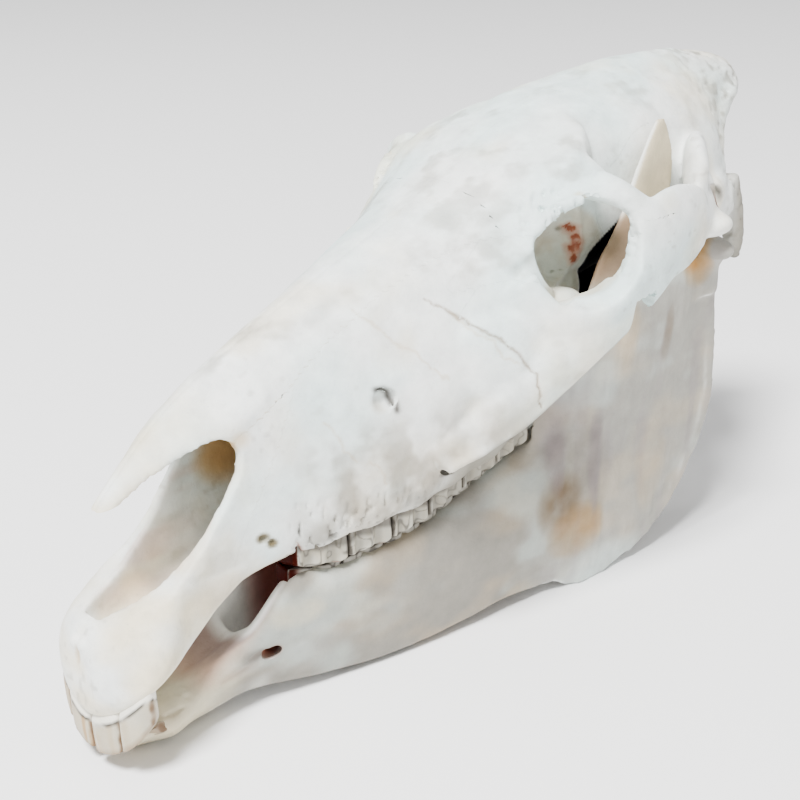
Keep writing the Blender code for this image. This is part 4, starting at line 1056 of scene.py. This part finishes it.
# half the width, and the height of the roof, of the nose's inside at each y
NOSE_WIDTH = ((6, 6), (22, 13), (42, 18), (66, 20), (95, 23), (130, 27), (170, 28), (200, 14))
NOSE_ROOF = ((0, 124), (20, 132), (42, 147), (66, 165), (95, 176), (130, 188), (170, 201), (210, 208))
STAINS_AND_SHADE = (
    # x, y, z, radii, colour and strength of the stains on the cranium, and of the painted shade in some
    # hollows and along the muzzle
    ((-23, 104, 122), (15, 26, 20), OCHRE, 0.6),
    ((14, 80, 150), (14, 12, 10), OCHRE, 0.6),
    ((27.8, 86.5, 97.5), (5, 5, 3.6), OLIVE, 0.85),
    ((29, 91.3, 93.5), (3.4, 4, 3.2), OLIVE, 0.9),
    ((0, -2, 60), (2.6, 6, 7), BEIGE, 0.7),
    ((67, 270, 239), (4, 6, 3.4), OCHRE, 0.45),
    # painted shade in the hollow under the crest's front end
    ((52, 189.5, 107), (6, 8, 3.4), INK, 0.85),
    ((44, 150, 153), (5, 7, 6), BEIGE, 0.3),
    # painted shade in the hollow behind the cheek arch
    ((71, 385, 218), (9, 14, 9), HOLE, 0.9),
    # a painted shadow band along the diastema
    ((26, 62, 76), (12, 26, 12), BEIGE, 0.4),
    ((20, 36, 74), (14, 14, 16), CREAM, 0.55),
    # painted shade in the ear opening
    ((63, 403, 214), (9, 9, 9), INK, 0.95),
    ((35.8, 292.1, 211.6), (2.4, 2.4, 2.4), GREY, 0.8),
)
SOCKET_HOLES = (
    # the small holes in the socket's inner wall
    ((40.2, 296, 212.3), (4.4, 4.2, 3.2)),
    ((42.3, 299.4, 206.6), (3.2, 3.4, 3.4)),
    ((42.5, 300.6, 202.0), (3.0, 3.4, 3.6)),
    ((38.9, 300, 199.6), (3.6, 3.2, 3.0)),
    ((40.3, 300.5, 195.0), (2.8, 3.0, 3.6)),
)
# the front edge of the slit behind the socket that is painted black as shadow, as (z, y)
SLIT_EDGE = ((180, 308), (190, 310), (196, 309.5), (202, 312.5), (207, 317), (212, 322), (216, 328))
JAW_STAINS_AND_SHADE = (
    # x, y, z, radii, colour and strength of the stains on the lower jaw, and of the painted shade in the
    # mental foramen and its groove
    ((56, 278, 58), (20, 20, 24), BROWN, 0.75),
    ((58, 293, 37), (18, 26, 20), OCHRE, 0.45),
    ((56, 276, 112), (18, 18, 48), VIOLET, 0.5),
    ((59, 288, 66), (20, 34, 50), OLIVE, 0.28),
    ((58, 306, 78), (16, 8, 36), VIOLET, 0.85),
    ((58, 275, 90), (16, 10, 28), VIOLET, 0.8),
    ((64, 356, 58), (14, 16, 34), BEIGE, 0.6),
    ((61, 359, 143), (14, 6, 22), BROWN, 0.5),
    ((66, 380, 186), (12, 16, 22), OCHRE, 0.8),
    ((62, 322, 150), (14, 12, 34), BEIGE, 0.6),
    # painted shade in the groove before the mental foramen
    ((23, 82, 31), (6, 9, 5), INK, 0.4),
    ((20.5, 94, 30), (7, 7.5, 5.4), RUST, 0.9),
    # the mental foramen's inside: its red-brown deepened to near black as painted shade
    ((17.5, 98, 30), (7, 7, 6), HOLE, 0.95),
    ((26, 110, 48), (9, 22, 10), CREAM, 0.5),
)


class Tones:
    """The tone of each point of a thing: a ground colour, with stains, painted shade and painted light laid
    one over another.
    """

    def __init__(self, thing, ground):
        self.mesh = thing.data
        self.colours = np.tile(np.asarray(ground), (len(thing.data.vertices), 1))

    def stain_shade_and_light(self, weight, colour):
        weight = np.clip(weight * np.ones(len(self.colours)), 0, 1)[:, None]
        self.colours = self.colours * (1 - weight) + np.asarray(colour) * weight

    def write(self):
        full = np.ones((len(self.colours), 4), np.float32)
        full[:, :3] = BRIGHTEST * (np.clip(self.colours, 0, 1) / BRIGHTEST) ** CONTRAST
        layer = self.mesh.color_attributes.new("tone", "FLOAT_COLOR", "POINT")
        layer.data.foreach_set("color", full.ravel())


def read_at(table, y):
    return np.interp(y, [p[0] for p in table], [p[1] for p in table])


def tone_cranium(thing):
    points, normals, folded, outward = pull(thing.data)
    x, y, z = folded.T
    tones = Tones(thing, WHITE)
    stain_shade_and_light = tones.stain_shade_and_light
    stain_shade_and_light(0.8 * fade(clouds(points, 60, 3, 21), -0.2, 0.4), COOL)
    stain_shade_and_light(0.35 * fade(clouds(points, 34, 3, 22), 0.0, 0.6), CREAM)
    # fine grey clouding, as on weathered bone
    mottle = fade(clouds(points, (12, 16, 10), 4, 20), 0.05, 0.6) * fade(clouds(points, 46, 2, 19), -0.3, 0.4)
    stain_shade_and_light(0.34 * mottle, GREY)
    muzzle = fade(y, 84, 34)
    stain_shade_and_light(0.55 * muzzle * fade(clouds(points, 18, 2, 23), -0.5, 0.4), CREAM)
    jowl = span(y, 95, 120, 205, 250) * fade(z, 158, 118) * fade(outward, 0.0, 0.4)
    stain_shade_and_light(jowl * 0.62 * fade(clouds(points, 13, 3, 24), -0.3, 0.4), GREY)
    stain_shade_and_light(jowl * 0.25 * fade(clouds(points, 24, 2, 37), -0.2, 0.4), BEIGE)
    speckle = fade(noise(points, 3.4, 25), 0.45, 0.8) * fade(clouds(points, 40, 2, 26), 0.0, 0.5)
    stain_shade_and_light(0.22 * speckle, GREY)
    # the tooth sockets' porous margin, dark in its gaps
    height = z - bite(np.clip(y, 104, 262))
    margin = span(y, 98, 106, 256, 264) * span(height, 4, 7, 14, 34) * fade(outward, -0.1, 0.4)
    pores = fade(noise(points, (2.2, 1.7, 5.0), 3) + 0.5 * noise(points, (1.6, 1.4, 2.6), 8), 0.2, 0.9)
    # the margin's own grey, growing towards the back as painted shade under the crest
    stain_shade_and_light(margin * (0.2 + 0.5 * fade(y, 150, 200)), GREY)
    stain_shade_and_light(margin * 0.85 * pores * fade(y, 214, 150), INK)
    gum = fade(height, 12.5, 9.5) * span(y, 98, 104, 262, 268) * fade(x, 22, 26)
    stain_shade_and_light(0.6 * gum, INK)
    # the shaded strip under the sharp edge of the crest
    crest = read_at([(p[1], p[2]) for p in CREST_EDGE], y)
    strip = span(y, 184, 198, 285, 300) * fade(z, crest + 0.5, crest - 3.5) * fade(height, 4, 7)
    stain_shade_and_light(0.7 * strip * fade(x, 84, 74), GREY)
    # a painted shadow line just under the crest's edge
    edge_line = [(p[1] + 0.8, p[2] - 4.0) for p in CREST_EDGE]
    stain_shade_and_light(0.55 * along_line(folded, edge_line, 1.3) * span(y, 182, 190, 270, 300), INK)
    # hairlines and the line between the cheek bone and the upper jaw
    wander = folded + np.stack([x * 0, 1.3 * noise(points, 3.0, 18), 1.3 * noise(points, 3.0, 19)], 1)
    for line in HAIRLINES:
        stain_shade_and_light(0.35 * along_line(wander, line, 0.7) * fade(outward, 0.1, 0.4), BEIGE)
    stain_shade_and_light(0.5 * along_line(wander, CHEEK_CRACK, 0.8) * fade(outward, 0.1, 0.4), BROWN)
    lid_shade = along_line(folded, [(p[1], p[2]) for p in LID], 1.5) * fade(outward, 0.0, 0.4)
    stain_shade_and_light(0.8 * lid_shade, INK)
    # painted shade in the face's groove, broken up by noise
    groove = along_line(folded, FACE_GROOVE, 2.6) * fade(outward, -0.2, 0.3)
    stain_shade_and_light(0.22 * groove * fade(noise(points, 9, 30), -0.3, 0.4), GREY)
    # inside the nose: surfaces that face its axis
    centre = (read_at(NOSE_ROOF, y) + 84 + np.clip(y - 60, 0, 120) * 0.3) / 2
    facing = -(normals[:, 0] * points[:, 0] + normals[:, 2] * (z - centre) * 0.5)
    inside = fade(read_at(NOSE_WIDTH, y) + 1.2 - x, 0, 1.2) * span(y, 8, 26, 198, 206) * fade(z, 62, 70)
    inside *= fade(read_at(NOSE_ROOF, y) - z, -3.0, 0.0) * fade(facing, 0.5, 3.0)
    stain_shade_and_light(inside * (0.06 + 0.12 * fade(y, 60, 120)), BEIGE)
    stain_shade_and_light(inside * 0.25 * fade(clouds(points, (8, 26, 8), 2, 27), -0.3, 0.5), PINK)
    # deeper in, browner and then near black: painted shade deep in the nose
    stain_shade_and_light(0.5 * inside * fade(y, 140, 190), BROWN)
    stain_shade_and_light(inside * 0.8 * fade(y, 150, 190), SHADE_BLACK)
    # the mouth's roof and throat
    below = fade(normals[:, 2], -0.2, -0.7) * fade(x, 34, 24) * fade(y, 70, 92)
    stain_shade_and_light(0.6 * below, BEIGE)
    deep = fade(x, 25, 18) * fade(y, 92, 140) * fade(z, 110, 96) * fade(y, 300, 260)
    stain_shade_and_light(0.95 * deep, RED_BROWN)
    first = fade(normals[:, 1], -0.1, -0.5) * span(y, 94, 100, 108, 114) * fade(z, 98, 90) * fade(x, 32, 28)
    stain_shade_and_light(0.95 * first, RED_BROWN)
    # inside the eye socket
    axis = np.asarray(Vector(ORBIT_AXIS).normalized())
    rel = folded - np.asarray(ORBIT_CENTRE, float)
    depth = -(rel @ axis)
    far = np.linalg.norm(rel + depth[:, None] * axis, axis=1)
    socket = fade(depth, 9, 18) * fade(far, 32, 27) * (depth < 75)
    stain_shade_and_light(socket * 0.3, BEIGE)
    stain_shade_and_light(socket * 0.22 * fade(clouds(points, 10, 3, 28), -0.2, 0.4), BEIGE)
    under = fade(z, 205, 178) * fade(y, 300, 340)
    stain_shade_and_light(0.25 * under, GREY)
    # painted shadow: the slit where one looks past the socket into the deep fossa is coloured near black
    slit_start = read_at(SLIT_EDGE, z)
    slit_shadow = fade(x, 55, 52) * span(y, slit_start - 0.9, slit_start + 0.9, 350, 362) * fade(z, 217, 214)
    stain_shade_and_light(slit_shadow, SHADE_BLACK)
    jitter = np.stack([noise(points, 2.4, 38), noise(points, 2.4, 39), noise(points, 2.4, 40)], 1)
    for hole, radii in SOCKET_HOLES:
        halo = near(folded + jitter, hole, np.asarray(radii) * 1.9)
        stain_shade_and_light(0.6 * halo, PINK)
        stain_shade_and_light(0.95 * fade(near(folded + 1.3 * jitter, hole, radii), 0.12, 0.5), RUST)
    # the braincase's back, and painted shade low on the nape
    back = fade(y, 410, 450)
    stain_shade_and_light(back * (0.16 + 0.4 * fade(noise(points, 4, 29), 0.0, 0.6)), GREY)
    nape = fade(y, 440, 452) * fade(z, 226, 205)
    stain_shade_and_light(0.8 * nape, GREY)
    for centre, radii, colour, strength in STAINS_AND_SHADE:
        where = points if centre[0] < 0 else folded
        stain_shade_and_light(strength * near(where, centre, radii), colour)
    tones.write()


def tone_jaw(thing):
    points, normals, folded, outward = pull(thing.data)
    x, y, z = folded.T
    # a ground of greyer bone with painted shade in it
    tones = Tones(thing, JAW)
    stain_shade_and_light = tones.stain_shade_and_light
    stain_shade_and_light(0.55 * fade(clouds(points, (30, 44, 24), 3, 35), -0.3, 0.3) * fade(y, 200, 90), WHITE)
    stain_shade_and_light(0.40 * fade(clouds(points, (30, 40, 22), 3, 31), -0.1, 0.5), BEIGE)
    stain_shade_and_light(0.35 * fade(clouds(points, (26, 44, 26), 3, 32), 0.0, 0.5), COOL)
    plate = fade(y, 258, 285)
    streak = fade(noise(points, (10, 7, 40), 33) + 0.4 * noise(points, (5, 4, 18), 36), 0.0, 0.8)
    stain_shade_and_light(0.4 * plate * streak, VIOLET)
    rim = plate * fade(np.abs(normals[:, 0]), 0.92, 0.5) * fade(z, 190, 150)
    stain_shade_and_light(0.85 * rim, WHITE)
    corner = near(folded, (56, 322, 4), (14, 44, 22))
    stain_shade_and_light(0.6 * corner, COOL)
    ramus = fade(y, 250, 290)
    stain_shade_and_light(0.22 * ramus, WHITE)
    blade = fade(z, 176, 192) * fade(y, 330, 322)
    stain_shade_and_light(0.75 * blade * fade(z, 226, 216), TAN)
    stain_shade_and_light(0.7 * fade(z, 216, 226), CREAM)
    front = fade(normals[:, 1], -0.35, -0.8) * fade(z, 214, 226)
    stain_shade_and_light(0.9 * front, WHITE)
    chin = fade(y, 84, 50)
    stain_shade_and_light(0.5 * chin, CREAM)
    gum = fade(x, 24, 16) * span(y, 40, 60, 100, 130) * fade(z, 20, 26)
    stain_shade_and_light(0.5 * gum, PINK)
    stain_shade_and_light(0.55 * fade(x, 24, 18) * fade(y, 44, 74) * fade(z, 14, 22) * fade(outward, 0.4, 0), VIOLET)
    # painted light: the inner face of the jaw's front is lightened as if light reached it
    inner = fade(x, 27, 20) * fade(y, 74, 84) * fade(outward, 0.3, -0.2)
    stain_shade_and_light(0.9 * inner, WHITE)
    mouth = fade(x, 27, 20) * fade(y, 98, 124) * fade(z, 14, 26) * fade(outward, 0.0, -0.4)
    stain_shade_and_light(0.95 * mouth, RED_BROWN)
    for centre, radii, colour, strength in JAW_STAINS_AND_SHADE:
        wander = 0.75 + 0.5 * clouds(points, 12, 3, 34)
        stain_shade_and_light(strength * near(folded, centre, radii) ** 0.7 * wander, colour)
    tones.write()


def tone_tooth(thing, upper, front):
    """Cream enamel, greyer in its folds and browner towards the gum."""
    points, normals, folded, outward = pull(thing.data)
    x, y, z = folded.T
    tones = Tones(thing, FRONT_ENAMEL if front else ENAMEL)
    stain_shade_and_light = tones.stain_shade_and_light
    stain_shade_and_light(0.4 * fade(clouds(points, (5, 5, 9), 3, 41), -0.2, 0.5), CREAM)
    if front:
        stain_shade_and_light(0.45 * fade(noise(points, (2.0, 30, 30), 42), 0.1, 0.7), BEIGE)
        stain_shade_and_light(0.55 * fade(points[:, 0], 0, -16), BEIGE)
        streaks = fade(noise(points, (1.6, 30, 14), 45), 0.25, 0.7) * fade(points[:, 0], 22, -10)
        stain_shade_and_light(0.6 * streaks, OCHRE)
        ends = np.asarray(INCISOR_ENDS if upper else LOWER_ENDS, float)
        seam = np.abs(x[:, None] + 0.5 * noise(points, (2, 3, 4), 48)[:, None] - ends).min(1)
        stain_shade_and_light(0.3, GREY)
        stain_shade_and_light(0.85 * fade(seam, 1.4, 0.5), BROWN)
        if upper:
            low = read_at([(p[0], p[2]) for p in EDGE_LINE], x)
            high = read_at([(p[0], p[2]) for p in NECK_LINE], x)
            share = (z - low) / (high - low) + 0.03 * noise(points, (3, 3, 6), 49)
            stain_shade_and_light(0.9 * fade(share, 0.88, 0.91), WHITE)
            stain_shade_and_light(0.25 * fade(share, 0.88, 0.91), CREAM)
            stain_shade_and_light(0.95 * np.exp(-(((share - 0.88) / 0.025) ** 2)), INK)
        worn = fade(z - read_at([(p[0], p[2]) for p in (EDGE_LINE if upper else LOWER_EDGE)], x), 2.4, 0.4)
        stain_shade_and_light(0.5 * worn, BROWN)
    else:
        if not upper:
            # the lower teeth take on the jaw's ground, painted shade in part
            stain_shade_and_light(0.75, JAW)
        height = np.abs(z - bite(np.clip(y, 104, 262)))
        joints = np.abs(y[:, None] - np.asarray(CHEEK_ENDS, float)).min(1)
        wavy = joints + 0.7 * noise(points, (3, 2, 3.4), 46)
        stain_shade_and_light(0.45 * fade(tooth_fold(y), 0.45, 0.95), GREY)
        stain_shade_and_light(0.9 * fade(wavy, 2.0, 0.7), INK)
        curls = np.abs(noise(points, (5.0, 4.2, 4.4), 47)) + 0.01 * height
        stain_shade_and_light(0.65 * fade(curls, 0.24, 0.06), INK)
        if upper:
            # a greyer tone, growing towards the back as painted shade under the crest
            stain_shade_and_light(0.3 + 0.35 * fade(y, 165, 215), GREY)
        stain_shade_and_light(0.6 * fade(height, 2.0, 0.8), INK)
        stain_shade_and_light(0.55 * fade(height, 8.5, 11.5), INK)
        stain_shade_and_light(0.95 * fade(outward, 0.1, -0.4) * fade(y, 190, 150), RED_BROWN)
        first = fade(y, 113, 107) * (fade(y, 110, 106) if upper else 1.0)
        stain_shade_and_light(0.97 * first * fade(normals[:, 1], 0.0, -0.4 if upper else -0.2), HOLE)
    tones.write()


def bone_finish(name, roughness, grain, gloss):
    """Procedural bone: its own tone, fine mottling, pores and a matt, slightly uneven surface."""
    made = bpy.data.materials.new(name)
    made.use_nodes = True
    nodes, links = made.node_tree.nodes, made.node_tree.links

    def feed(node, inputs):
        for place, value in inputs.items():
            if isinstance(value, bpy.types.NodeSocket):
                links.new(value, node.inputs[place])
            else:
                node.inputs[place].default_value = value

    def node(kind, output, inputs, **settings):
        fresh = nodes.new("ShaderNode" + kind)
        for setting, value in settings.items():
            setattr(fresh, setting, value)
        feed(fresh, inputs)
        return fresh.outputs[output]

    place = node("TexCoord", "Object", {})
    tone = node("VertexColor", "Color", {}, layer_name="tone")
    brightness = node("RGBToBW", "Val", {"Color": tone})
    shine = node("MapRange", "Result", {"Value": brightness, "From Max": 0.2, "To Max": gloss})
    mottle = node("TexNoise", "Fac", {"Vector": place, "Scale": 90, "Detail": 7, "Roughness": 0.62})
    shade = node("MapRange", "Result",
                 {"Value": mottle, "From Min": 0.3, "From Max": 0.7, "To Min": 0.84, "To Max": 1.06})
    pores = node("TexVoronoi", "Distance", {"Vector": place, "Scale": 420})
    pits = node("MapRange", "Result",
                {"Value": pores, "From Min": 0.05, "From Max": 0.22, "To Min": 0.90, "To Max": 1.0})
    depth = node("Math", "Value", {0: shade, 1: pits}, operation="MULTIPLY")
    paint = node("Mix", 2, {"Factor": 1.0, 6: tone, 7: depth}, data_type="RGBA", blend_type="MULTIPLY")
    rough = node("MapRange", "Result",
                 {"Value": mottle, "To Min": roughness - 0.1, "To Max": roughness + 0.1})
    fine = node("TexNoise", "Fac", {"Vector": place, "Scale": 380, "Detail": 8})
    height = node("Math", "Value", {0: fine, 1: pits}, operation="ADD")
    bump = node("Bump", "Normal", {"Strength": grain, "Distance": 0.0006, "Height": height})
    feed(nodes["Principled BSDF"],
         {"Specular IOR Level": shine, "Base Color": paint, "Roughness": rough, "Normal": bump})
    return made


# The pieces


def dress(thing, finish, nodes=()):
    """Sets a drawn piece down at its real size, gives it its finish and lets it ride."""
    place = Matrix.Scale(UNIT, 4) @ Matrix.Translation((0, -MIDDLE, LIFT))
    thing.data.transform(place)
    thing.data.materials.clear()
    thing.data.materials.append(finish)
    thing.data.shade_smooth()
    thing.data.set_sharp_from_angle(angle=math.radians(58))
    thing.data.update()
    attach(thing, "root")
    if nodes:
        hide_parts(*nodes)


def skull_bones():
    """The worked cranium, parted into its bones."""
    whole = cranium()
    work_cranium(whole)
    bones = {"premaxilla": split_off(whole, "premaxilla", PREMAXILLA_EDGE, phase=0.4)}
    for side, word in SIDES:
        reach = reach_of(side, TEMPORAL_DEPTH)
        bones["temporal_" + word] = split_off(whole, "temporal", TEMPORAL_EDGE, *reach, phase=1.0)
    braincase = split_off(whole, "braincase", BRAINCASE_EDGE, phase=2.0)
    bones["occipital"] = split_off(braincase, "occipital", OCCIPITAL_EDGE, phase=3.0)
    bones["braincase"] = keep_largest(braincase)
    for side, word in SIDES:
        face = half(whole, "maxilla", side)
        for name, outline, low, phase in (
            ("nasal", NASAL_EDGE, -PAST_SIDE, 0.2),
            ("zygomatic", CHEEK_EDGE, CHEEK_DEPTH, 1.6),
            ("lacrimal", TEAR_EDGE, TEAR_DEPTH, 2.2),
            ("frontal", FRONTAL_EDGE, -PAST_SIDE, 2.9),
        ):
            bones[name + "_" + word] = split_off(face, name, outline, *reach_of(side, low), phase=phase)
        bones["maxilla_" + word] = keep_largest(face)
    bpy.data.objects.remove(whole, do_unlink=True)
    return bones


def jaw_bones():
    whole = lower_jaw()
    work_jaw(whole)
    floor = [(-200, -60), (800, -60), (800, -LIFT), (-200, -LIFT)]
    carve(whole, [prism("floor", floor)])
    bones = {"mandible_" + word: half(whole, "mandible", side) for side, word in SIDES}
    bpy.data.objects.remove(whole, do_unlink=True)
    return bones


def all_teeth():
    """Every tooth as (piece, is it an upper one, is it a front one)."""
    made = []
    for upper in (True, False):
        row = "upper" if upper else "lower"
        for k, (start, end) in enumerate(zip(CHEEK_ENDS, CHEEK_ENDS[1:]), 1):
            made.append((cheek_tooth(f"{row}_cheek_tooth_{k}", start, end, upper), upper, False))
    for k, (a, b) in enumerate(zip(INCISOR_ENDS, INCISOR_ENDS[1:]), 1):
        tooth = front_tooth(f"upper_incisor_{k}", (a + 0.2, b - 0.2), (EDGE_LINE, NECK_LINE), UPPER_LEAN,
                            (-6, 7, 13), (5.5, 7.5, 7))
        made.append((tooth, True, True))
    for k, (a, b) in enumerate(zip(LOWER_ENDS, LOWER_ENDS[1:]), 1):
        tooth = front_tooth(f"lower_incisor_{k}", (a + 0.2, b - 0.2), (LOWER_EDGE, LOWER_NECK), LOWER_LEAN,
                            (-4, 12, -2), (4, 5.5, 5))
        made.append((tooth, False, True))
    return made


# Stage: camera, floor and light

CAMERA_SPOT = (513.1, -302.1, 419.4)  # in drawing units
CAMERA_AZIMUTH = 45.22
CAMERA_ELEVATION = 22.06
CAMERA_ROLL = -0.22
CAMERA_LENS = 65.08  # mm, on a sensor of that width:
CAMERA_SENSOR = 36
FLOOR_REACH = 9.0  # m
FLOOR_TONE = (0.92, 0.92, 0.92, 1)
SKY_STRENGTH = 0.8
KEY_SPOT = (0.75, -2.0, 3.6)  # m
KEY_AIM = (0, 0, 0.12)
KEY_SIZE = 1.1  # m
KEY_POWER = 540  # W


def set_camera():
    lens = bpy.data.cameras.new("camera")
    lens.lens = CAMERA_LENS
    lens.sensor_width = CAMERA_SENSOR
    lens.clip_start = 0.01
    lens.clip_end = 50
    eye = placed("camera", lens)
    azimuth, elevation = math.radians(CAMERA_AZIMUTH), math.radians(CAMERA_ELEVATION)
    back = Vector((math.sin(azimuth) * math.cos(elevation), -math.cos(azimuth) * math.cos(elevation),
                   math.sin(elevation)))
    right = Vector((math.cos(azimuth), math.sin(azimuth), 0))
    up = back.cross(right)
    turn = Matrix((right, up, back)).transposed().to_4x4()
    turn = turn @ Matrix.Rotation(math.radians(CAMERA_ROLL), 4, "Z")
    spot = Vector(CAMERA_SPOT) + Vector((0, -MIDDLE, LIFT))
    eye.matrix_world = Matrix.Translation(spot * UNIT) @ turn
    bpy.context.scene.camera = eye


def set_stage():
    mesh = bpy.data.meshes.new("floor")
    corners = [(x * FLOOR_REACH, y * FLOOR_REACH, 0) for x, y in ((-1, -1), (1, -1), (1, 1), (-1, 1))]
    mesh.from_pydata(corners, [], [(0, 1, 2, 3)])
    floor = placed("floor", mesh)
    paint = bpy.data.materials.new("floor")
    paint.use_nodes = True
    shader = paint.node_tree.nodes["Principled BSDF"]
    shader.inputs["Base Color"].default_value = FLOOR_TONE
    shader.inputs["Roughness"].default_value = 0.9
    mesh.materials.append(paint)
    world = bpy.data.worlds.new("studio")
    world.use_nodes = True
    sky = world.node_tree.nodes["Background"]
    sky.inputs["Color"].default_value = (1.0, 1.0, 1.0, 1)
    sky.inputs["Strength"].default_value = SKY_STRENGTH
    bpy.context.scene.world = world
    lamp = bpy.data.lights.new("key", "AREA")
    lamp.shape = "DISK"
    lamp.size = KEY_SIZE
    lamp.energy = KEY_POWER
    key = placed("key", lamp)
    key.location = KEY_SPOT
    key.rotation_euler = (Vector(KEY_AIM) - Vector(KEY_SPOT)).to_track_quat("-Z", "Y").to_euler()


def main():
    cranium_finish = bone_finish("cranium_bone", 0.6, 0.35, 0.35)
    jaw_finish = bone_finish("jaw_bone", 0.62, 0.4, 0.3)
    tooth_finish = bone_finish("tooth_enamel", 0.42, 0.12, 0.45)
    for name, bone in skull_bones().items():
        bone.name = "bone_" + name
        tone_cranium(bone)
        dress(bone, cranium_finish, [name])
    for name, bone in jaw_bones().items():
        bone.name = "bone_" + name
        tone_jaw(bone)
        dress(bone, jaw_finish, [name])
    for tooth, upper, front in all_teeth():
        plain = tooth.name
        other = mirrored(tooth)
        for side, word in ((tooth, "left"), (other, "right")):
            side.name = plain + "_" + word
            tone_tooth(side, upper, front)
            dress(side, tooth_finish)
    set_camera()
    set_stage()


main()
